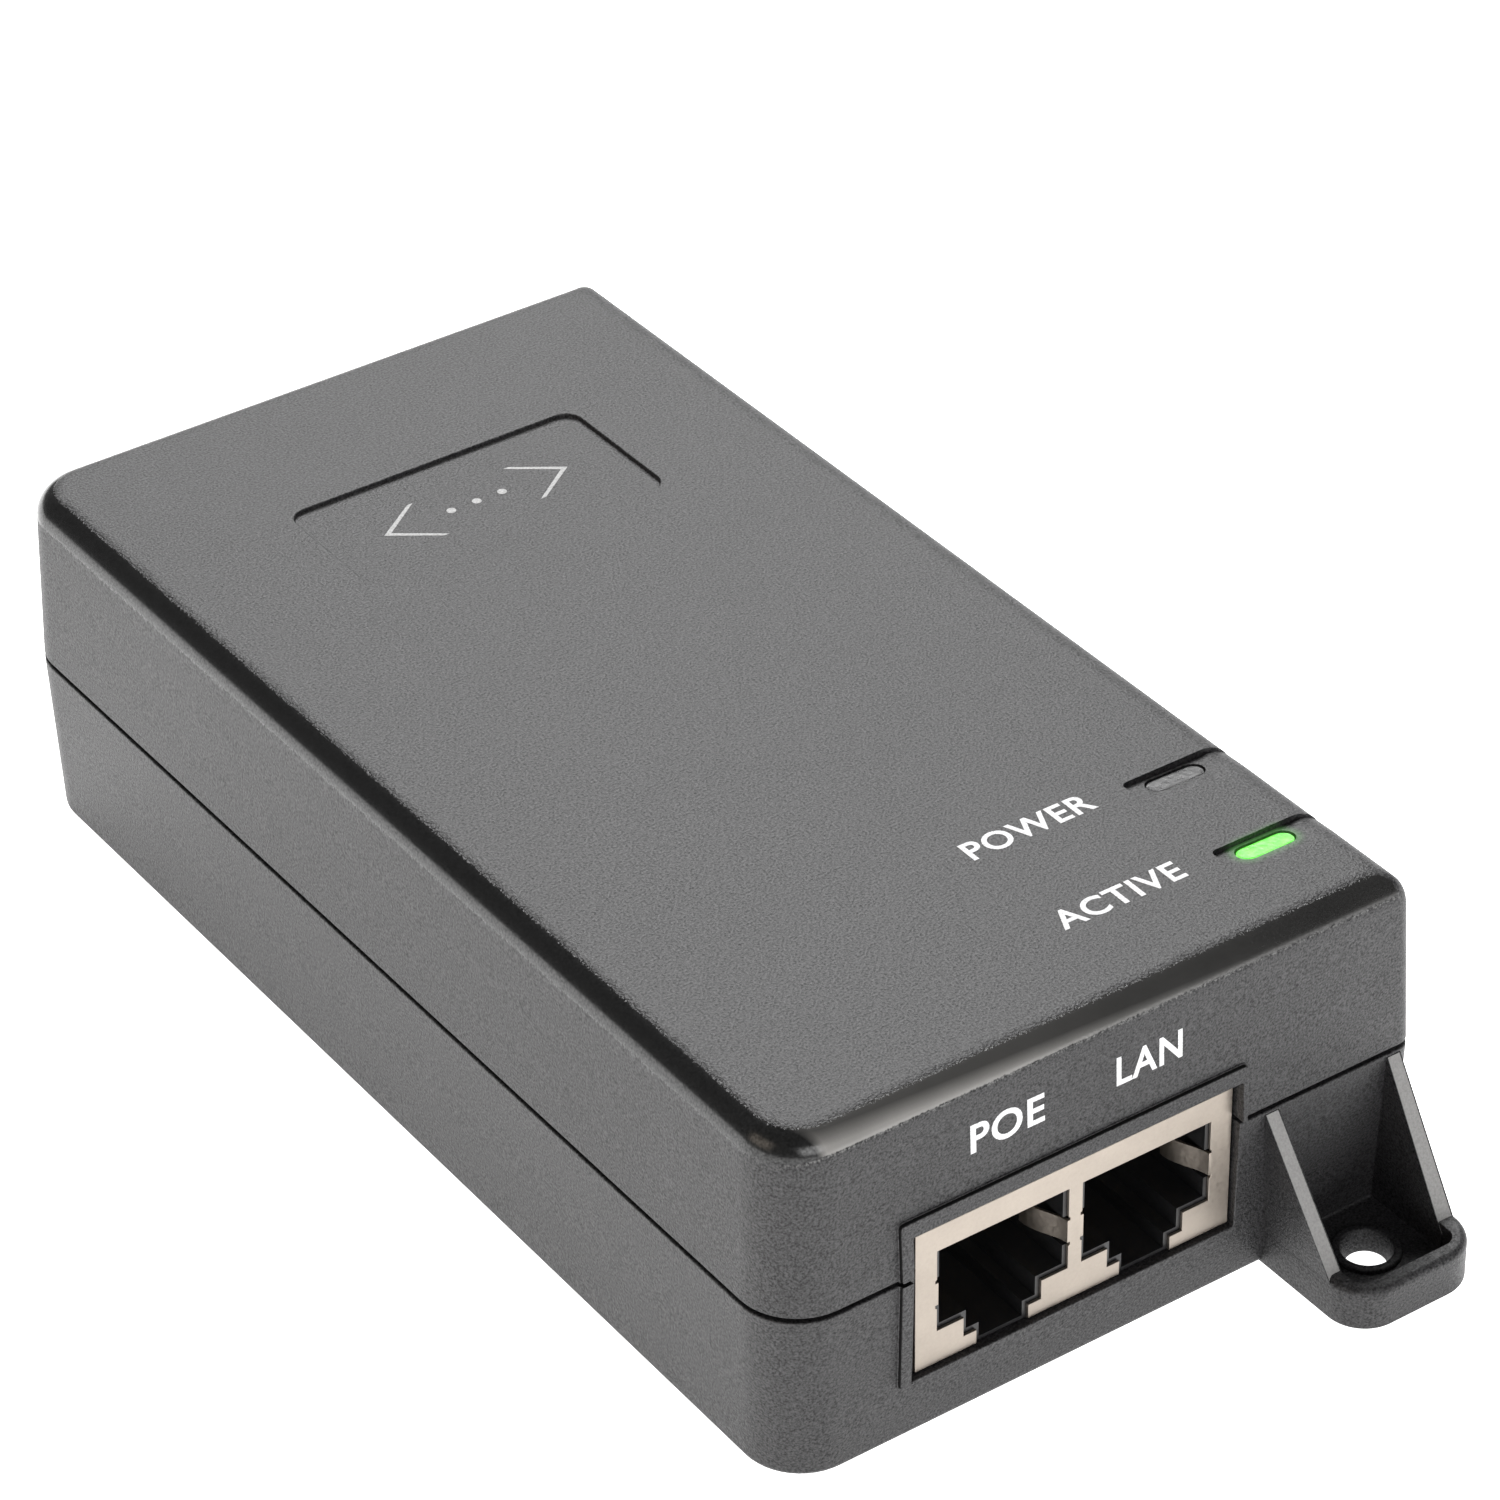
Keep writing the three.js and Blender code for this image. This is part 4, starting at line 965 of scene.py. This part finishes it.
class Look:
    """A material being made: its node tree, and short ways to add to it."""

    def __init__(self, name, base, roughness, metallic=0.0, specular=0.5):
        self.material = bpy.data.materials.new(name)
        self.material.use_nodes = True
        self.tree = self.material.node_tree
        self.shader = self.tree.nodes["Principled BSDF"]
        self.put("Base Color", (*base, 1))
        self.put("Roughness", roughness)
        self.put("Metallic", metallic)
        self.put("Specular IOR Level", specular)
        coordinates = self.tree.nodes.new("ShaderNodeTexCoord")
        self.place = coordinates.outputs["Object"]

    def put(self, socket, value):
        self.wire(self.shader.inputs[socket], value)

    def wire(self, socket, value):
        if isinstance(value, bpy.types.NodeSocket):
            self.tree.links.new(value, socket)
        else:
            socket.default_value = value

    def node(self, kind, output, inputs, **settings):
        made = self.tree.nodes.new(kind)
        for key, value in settings.items():
            setattr(made, key, value)
        for key, value in inputs.items():
            self.wire(made.inputs[key], value)
        return made.outputs[output]

    def math(self, operation, a, b=0.0, c=0.0):
        return self.node("ShaderNodeMath", "Value", {0: a, 1: b, 2: c}, operation=operation)

    def product(self, *factors):
        """All the factors multiplied together."""
        result = factors[0]
        for factor in factors[1:]:
            result = self.math("MULTIPLY", result, factor)
        return result

    def noise(self, size, detail=2.0, roughness=0.5, stretch=None):
        """Noise whose features are about size millimetres across."""
        place = self.place
        if stretch:
            place = self.node("ShaderNodeMapping", "Vector", {"Vector": place, "Scale": stretch})
        inputs = {
            "Vector": place,
            "Scale": 1 / (size * MM),
            "Detail": detail,
            "Roughness": roughness,
        }
        return self.node("ShaderNodeTexNoise", "Fac", inputs)

    def spread(self, value, low, high, to_low, to_high, smooth=False):
        """A value's range mapped to another, and held at its ends."""
        inputs = {
            "Value": value,
            "From Min": low,
            "From Max": high,
            "To Min": to_low,
            "To Max": to_high,
        }
        kind = "SMOOTHSTEP" if smooth else "LINEAR"
        return self.node("ShaderNodeMapRange", "Result", inputs, interpolation_type=kind)

    def blend(self, share, first, second):
        """Two colours mixed by a share."""
        made = self.tree.nodes.new("ShaderNodeMix")
        made.data_type = "RGBA"
        self.wire(made.inputs[0], share)
        self.wire(made.inputs[6], first if hasattr(first, "node") else (*first, 1))
        self.wire(made.inputs[7], second if hasattr(second, "node") else (*second, 1))
        return made.outputs[2]

    def bump(self, height, distance):
        """Relief of a height given in millimetres."""
        inputs = {"Height": height, "Distance": distance * MM, "Strength": 1}
        self.put("Normal", self.node("ShaderNodeBump", "Normal", inputs))

    def parts(self, vector):
        made = self.tree.nodes.new("ShaderNodeSeparateXYZ")
        self.tree.links.new(vector, made.inputs[0])
        return made.outputs

    def normal(self):
        return self.tree.nodes.new("ShaderNodeNewGeometry").outputs["Normal"]


# The size of the grain, the spread of a metal's tones, and the case's colours
GRAIN = 0.2
METAL_MOTTLE = 0.12
PLASTIC = (0.014, 0.0135, 0.0145)
GLOSSY_PLASTIC = (0.004, 0.004, 0.004)
# A lighter tone painted on the band along the front: a painted reflection
PAINTED_BAND_REFLECTION = (0.34, 0.33, 0.315)
# A lighter line painted along the band's foot: a painted highlight
PAINTED_FOOT_HIGHLIGHT = (0.12, 0.12, 0.115)
PIPE_GLOW = (0.25, 0.8, 0.2, 1)

# The smooth band's edges, as the z of the surface's normal
BAND_LOW = {"left": 0.06, "front": 0.27}
BAND_HIGH = 0.93
# Half the sides of the zone round the label recess that has no band
LABEL_ZONE = {"x": 17, "y": 10}
# The part of the band where a lighter tone is painted on as a reflection: where along x it starts
# and ends, and how high it goes
BAND_REFLECTION = {"x0": -29, "x1": 22, "high_x1": 14, "high0": 0.86, "high1": 0.42, "faintest": 0.22}


def near_lit_pipe(look):
    """How strongly the lit indicator's light falls on the cover round it."""
    x, y, z = look.parts(look.place)
    reach = (PIPE["length"] - PIPE["width"]) / 2 * MM
    spot_y = (NOTCH_STEPS_Y["active"] - PIPE["ahead"]) * MM
    along = look.math("ABSOLUTE", look.math("SUBTRACT", x, PIPE["x"] * MM))
    along = look.math("MAXIMUM", look.math("SUBTRACT", along, reach), 0)
    across = look.math("SUBTRACT", y, spot_y)
    square = look.math("MULTIPLY_ADD", along, along, look.math("MULTIPLY", across, across))
    near = look.spread(look.math("SQRT", square), 0.9 * MM, 2.3 * MM, 1, 0, smooth=True)
    level = look.math("GREATER_THAN", z, (HEIGHT - 1) * MM)
    upright = look.spread(look.parts(look.normal())[2], 0.7, 0.95, 0.15, 1)
    return look.product(near, near, level, upright)


def band_zone(look):
    """1 where the cover's top edge may have its smooth band: high up, not on the right,
    and not at the lip of the label recess."""
    x, y, z = look.parts(look.place)
    beside = look.math("SUBTRACT", look.math("ABSOLUTE", x), LABEL_ZONE["x"] * MM)
    from_middle = look.math("ABSOLUTE", look.math("SUBTRACT", y, LABEL["y"] * MM))
    beyond = look.math("SUBTRACT", from_middle, LABEL_ZONE["y"] * MM)
    return look.product(
        look.math("GREATER_THAN", z, (HEIGHT - TOP_FILLET - 0.3) * MM),
        look.spread(look.parts(look.normal())[0], 0.1, 0.25, 1, 0),
        look.math("GREATER_THAN", look.math("MAXIMUM", beside, beyond), 0),
    )


def painted_band_reflection(look, broad):
    """How strongly a painted reflection lightens the smooth band along the front: over all its
    height near the left corner, and lower and fainter towards the right."""
    x, y, _ = look.parts(look.place)
    across, _, upright = look.parts(look.normal())
    x0, x1, high_x1 = (BAND_REFLECTION[key] * MM for key in ("x0", "x1", "high_x1"))
    top = look.spread(x, x0, high_x1, BAND_REFLECTION["high0"], BAND_REFLECTION["high1"])
    return look.product(
        look.spread(x, x0, x1, 1, BAND_REFLECTION["faintest"]),
        look.spread(across, -0.3, -0.16, 0, 1),
        look.math("LESS_THAN", y, (FRONT_Y + 6) * MM),
        look.spread(broad, 0.3, 0.7, 0.75, 1),
        look.spread(look.math("SUBTRACT", upright, top), -0.3, 0.06, 1, 0.2),
    )


def case_plastic():
    """Black moulded plastic: a fine spark-eroded grain, left off the cover's rounded
    top edge, which is smooth and glossy on all sides but the right. The band has a
    ragged edge, with a broken light line painted along its foot as a highlight, and a
    lighter tone painted along the front as a reflection."""
    look = Look("case_plastic", PLASTIC, 0.5)
    grain = look.noise(GRAIN, 2, 0.6)
    broad = look.noise(9, 3, 0.6)
    across, _, upright = look.parts(look.normal())
    zone = band_zone(look)
    ragged = look.math("MULTIPLY_ADD", look.math("SUBTRACT", grain, 0.5), 0.1, upright)
    lowest = look.spread(across, -0.9, -0.2, BAND_LOW["left"], BAND_LOW["front"])
    above = look.math("SUBTRACT", ragged, lowest)
    smooth = look.product(
        look.spread(above, 0, 0.04, 0, 1),
        look.spread(ragged, BAND_HIGH, BAND_HIGH + 0.035, 1, 0),
        zone,
    )
    textured = look.math("SUBTRACT", 1, smooth)
    tone = look.product(
        look.spread(grain, 0.3, 0.7, 0.2, 2.0), look.spread(broad, 0.3, 0.7, 0.9, 1.12)
    )
    light = tuple(2 * c for c in PLASTIC)
    shade = look.blend(look.spread(tone, 0, 2, 0, 1), (0, 0, 0), light)
    foot_highlight = look.product(
        # Where the painted highlight runs: a broken line along the band's foot
        look.spread(look.math("ABSOLUTE", look.math("ADD", above, 0.02)), 0, 0.05, 1, 0),
        look.spread(grain, 0.45, 0.62, 0, 1),
        look.spread(across, -0.85, -0.6, 0, 1),
        zone,
    )
    shade = look.blend(foot_highlight, shade, PAINTED_FOOT_HIGHLIGHT)
    # Along the front the band takes a lighter tone that is a painted reflection
    band = look.blend(painted_band_reflection(look, broad), GLOSSY_PLASTIC, PAINTED_BAND_REFLECTION)
    look.put("Base Color", look.blend(textured, band, shade))
    look.put("Roughness", look.math("MULTIPLY_ADD", textured, 0.3, 0.21))
    look.put("Specular IOR Level", look.spread(grain, 0.3, 0.7, 0.28, 0.82))
    look.bump(look.math("MULTIPLY", grain, textured), 0.08)
    look.put("Emission Color", PIPE_GLOW)
    look.put("Emission Strength", look.math("MULTIPLY", near_lit_pipe(look), 0.24))
    return look.material


def smooth_plastic():
    """The case's plastic where the mould was polished: the sides of the jack's frame."""
    look = Look("smooth_plastic", (0.005, 0.005, 0.005), 0.3, specular=0.35)
    grain = look.noise(GRAIN, 2, 0.6)
    look.put("Base Color", look.blend(grain, (0.003, 0.003, 0.003), (0.008, 0.008, 0.008)))
    look.bump(grain, 0.01)
    return look.material


def rib_painted_light():
    """The ribs' sloping upper edges: a lighter tone painted on for the light that falls on them."""
    look = Look("rib_painted_light", (0.2, 0.2, 0.2), 0.6, specular=0.6)
    grain = look.noise(GRAIN, 3, 0.6)
    tone = look.spread(grain, 0.3, 0.7, 0.35, 0.65)
    look.put("Base Color", look.blend(tone, (0.14, 0.14, 0.138), (0.46, 0.45, 0.44)))
    look.bump(grain, 0.012)
    return look.material


def black_plastic():
    look = Look("black_plastic", (0.01, 0.01, 0.011), 0.38, specular=0.6)
    grain = look.noise(0.6, 3)
    look.put("Roughness", look.spread(grain, 0.3, 0.7, 0.3, 0.46))
    shade = look.blend(look.noise(4, 2), (0.006, 0.006, 0.007), (0.016, 0.016, 0.017))
    look.put("Base Color", shade)
    look.bump(grain, 0.01)
    return look.material


def metal(name, base, roughness, size=0.5, stretch=None):
    """Plated or bare metal with a mottled or drawn finish."""
    look = Look(name, base, roughness, 1.0)
    fine = look.noise(size, 4, 0.6, stretch)
    broad = look.noise(size * 8, 2)
    mixed = look.math("ADD", look.math("MULTIPLY", fine, 0.65), look.math("MULTIPLY", broad, 0.35))
    dark = tuple(c * (1 - METAL_MOTTLE) for c in base)
    light = tuple(min(c * (1 + METAL_MOTTLE), 1) for c in base)
    look.put("Base Color", look.blend(look.spread(mixed, 0.3, 0.7, 0, 1), dark, light))
    look.put("Roughness", look.spread(fine, 0.3, 0.7, roughness * 0.8, roughness * 1.2))
    look.bump(fine, 0.004)
    return look.material


def mottled(name, first, second, size, roughness):
    """A painted, moulded or sintered surface of two close tones."""
    look = Look(name, first, roughness)
    fine = look.noise(size, 4, 0.6)
    look.put("Base Color", look.blend(look.spread(fine, 0.3, 0.7, 0, 1), first, second))
    look.put("Roughness", look.spread(fine, 0.3, 0.7, roughness * 0.85, roughness * 1.15))
    look.bump(fine, 0.01)
    return look.material


def copper_wire():
    """Enamelled wire: close turns round the winding."""
    look = Look("copper_wire", (0.5, 0.17, 0.06), 0.3, 0.75)
    x, _, z = look.parts(look.place)
    low, high = cad_box("choke_core")
    centre = ((low.x + high.x) / 2 * MM, (low.z + high.z) / 2 * MM)
    angle = look.math(
        "ARCTAN2", look.math("SUBTRACT", z, centre[1]), look.math("SUBTRACT", x, centre[0])
    )
    turns = look.math("SINE", look.math("MULTIPLY", angle, 70))
    shade = look.spread(turns, -1, 0.4, 0, 1)
    look.put("Base Color", look.blend(shade, (0.16, 0.045, 0.015), (0.62, 0.24, 0.09)))
    look.bump(turns, 0.15)
    return look.material


def winding_tape():
    """Yellow polyester tape wound round the coil, with its edge lines."""
    look = Look("winding_tape", (0.62, 0.42, 0.06), 0.35)
    height = look.parts(look.place)[2]
    lines = look.math("PINGPONG", look.math("DIVIDE", height, MM), 1.6)
    edge = look.spread(lines, 0, 0.12, 0, 1)
    look.put("Base Color", look.blend(edge, (0.36, 0.22, 0.03), (0.66, 0.45, 0.07)))
    look.bump(edge, 0.05)
    return look.material


def board_green():
    """Solder mask with faint copper tracks under it."""
    look = Look("board_green", (0.01, 0.09, 0.03), 0.3, specular=0.6)
    tracks = look.node(
        "ShaderNodeTexVoronoi",
        "Distance",
        {"Vector": look.place, "Scale": 1 / (5 * MM)},
        feature="DISTANCE_TO_EDGE",
        distance="CHEBYCHEV",
    )
    track = look.spread(tracks, 0.05, 0.07, 1, 0)
    look.put("Base Color", look.blend(track, (0.008, 0.075, 0.025), (0.02, 0.16, 0.05)))
    look.bump(track, 0.03)
    return look.material


def clear_pipe(lit):
    """A light pipe: grey and frosted when dark, or glowing unevenly when lit."""
    name = "light_pipe_lit" if lit else "light_pipe_unlit"
    look = Look(name, (0.2, 0.2, 0.2), 0.25, specular=0.6)
    cloud = look.noise(0.7, 3)
    if lit:
        look.put("Base Color", (0.05, 0.3, 0.03, 1))
        hot = look.spread(cloud, 0.3, 0.7, 0, 1)
        look.put("Emission Color", look.blend(hot, (0.06, 0.72, 0.015), (0.22, 1.0, 0.09)))
        look.put("Emission Strength", 0.95)
    else:
        share = look.spread(cloud, 0.3, 0.7, 0, 1)
        look.put("Base Color", look.blend(share, (0.028, 0.028, 0.03), (0.06, 0.06, 0.06)))
    look.bump(cloud, 0.03)
    return look.material


def print_ink(name, thin, full, covered):
    """Pad print, a little broken by the grain under it."""
    look = Look(name, full, 0.6)
    grain = look.noise(GRAIN, 3, 0.6)
    look.put("Base Color", look.blend(look.spread(grain, 0.25, covered, 0, 1), thin, full))
    look.bump(grain, 0.01)
    return look.material


# Each metal's colour, roughness, size of mottle in millimetres, and direction of finish
METALS = {
    "screw_steel": ((0.42, 0.42, 0.44), 0.34, 0.4),
    "nickel_sheet": ((0.38, 0.335, 0.29), 0.42, 0.35),
    "nickel_pin": ((0.62, 0.6, 0.56), 0.28, 0.5, (1, 0.15, 1)),
    "gold_contact": ((0.75, 0.52, 0.2), 0.3, 0.3),
    "aluminium_sheet": ((0.6, 0.61, 0.62), 0.4, 0.5, (1, 1, 0.1)),
}
# The two tones of each mottled surface, its size of mottle and its roughness
MOTTLED = {
    "label_film": ((0.62, 0.62, 0.6), (0.7, 0.7, 0.68), 1.5, 0.45),
    "led_package": ((0.7, 0.68, 0.6), (0.8, 0.78, 0.72), 0.8, 0.4),
    "insulating_film": ((0.55, 0.5, 0.4), (0.62, 0.57, 0.46), 3, 0.5),
    "fuse_glass": ((0.45, 0.45, 0.46), (0.6, 0.6, 0.62), 1.2, 0.2),
    "capacitor_yellow": ((0.6, 0.42, 0.04), (0.7, 0.5, 0.07), 1.2, 0.4),
    "ferrite": ((0.02, 0.02, 0.022), (0.06, 0.058, 0.06), 0.5, 0.6),
    "capacitor_sleeve": ((0.008, 0.012, 0.03), (0.016, 0.02, 0.045), 2, 0.28),
    "capacitor_blue": ((0.02, 0.1, 0.4), (0.03, 0.14, 0.5), 0.8, 0.3),
}
LOOKS = {
    "case_plastic": case_plastic(),
    "black_plastic": black_plastic(),
    "light_pipe_unlit": clear_pipe(False),
    "light_pipe_lit": clear_pipe(True),
    "board_green": board_green(),
    "copper_wire": copper_wire(),
    "winding_tape": winding_tape(),
}
LOOKS.update({name: metal(name, *values) for name, values in METALS.items()})
LOOKS.update({name: mottled(name, *values) for name, values in MOTTLED.items()})
RIB_PAINTED_LIGHT = rib_painted_light()
SMOOTH_LOOK = smooth_plastic()
INK_LOOK = print_ink("print_ink", (0.45, 0.45, 0.46), (0.86, 0.86, 0.87), 0.5)
SYMBOL_LOOK = print_ink("symbol_ink", (0.25, 0.25, 0.25), (0.5, 0.5, 0.5), 0.6)


# ---- Assembly ----

# The material slot of each CAD node that no finer piece has yet taken the place of
SLOTS = {part["node"]: part["material_slot"] for part in frame["record"]["subparts"]}
# This choke's core is hidden by its winding
SLOTS["output_choke"] = "copper_wire"


def dress(piece, material):
    piece.data.materials.clear()
    piece.data.materials.append(material)


def build(piece, node):
    """Finishes a finer piece, gives it the material of the CAD node it stands for, and hides that
    node.
    """
    slot = SLOTS.pop(node)
    dress(piece, LOOKS[slot])
    polish(piece)
    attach(piece, CASE)
    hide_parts(node)
    return piece


def mark(piece, look, chosen):
    """Gives a material to the faces that a test on centre and normal picks, in
    millimetres."""
    piece.data.materials.append(look)
    index = len(piece.data.materials) - 1
    for face in piece.data.polygons:
        if chosen(face.center / MM, face.normal):
            face.material_index = index


def on_rib(centre, normal):
    """A rib's sloping upper face."""
    between = RIBS[0]["foot"][1] + 0.1 < centre.x < RIBS[1]["foot"][0] - 0.1
    outside = abs(centre.y) > HALF_LENGTH + 0.05 and centre.z > EAR["rim_z"] - 0.3
    return outside and not between and abs(normal.x) < 0.1 and 0.3 < normal.z < 0.95


def on_frame_side(centre, normal):
    """A side face of the raised frame round the jack's opening."""
    place = front_place(centre.z > PARTING_Z)
    depth = centre.y - place((0, 0, centre.z))[1]
    inside = centre.x > OPENING["x0"] - 0.2 and centre.z < OPENING["z1"] + 0.2
    return -0.38 < depth < -0.09 and abs(normal.y) < 0.5 and not inside


cover = build(top_cover(), "top_cover")
base = build(bottom_case(), "bottom_case")
# The ribs' sloping faces take a lighter tone that is painted light
mark(base, RIB_PAINTED_LIGHT, on_rib)
mark(base, SMOOTH_LOOK, on_frame_side)
mark(cover, SMOOTH_LOOK, on_frame_side)
build(jack_shield(), "jack_shield")
build(inlet_body(), "inlet_body")
for indicator, step_y in NOTCH_STEPS_Y.items():
    node = indicator + "_light_pipe"
    build(light_pipe(step_y, node), node)

for name, slot in SLOTS.items():
    dress(NODES[name], LOOKS[slot])

# Each word's place: along x, then along y on the cover or z on the front wall
WORDS = [
    ("power_legend", "POWER", 3.4, 15.7, -36.4, -34.0, on_top),
    ("active_legend", "ACTIVE", 3.55, 15.7, -47.8, -45.4, on_top),
    ("poe_legend", "POE", -13.0, -6.0, 25.15, 27.85, on_front),
    ("lan_legend", "LAN", 0.9, 7.3, 25.2, 27.85, on_front),
]
for word in WORDS:
    legend = lettering(*word)
    dress(legend, INK_LOOK)
    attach(legend, CASE)
symbol = network_symbol()
dress(symbol, SYMBOL_LOOK)
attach(symbol, CASE)
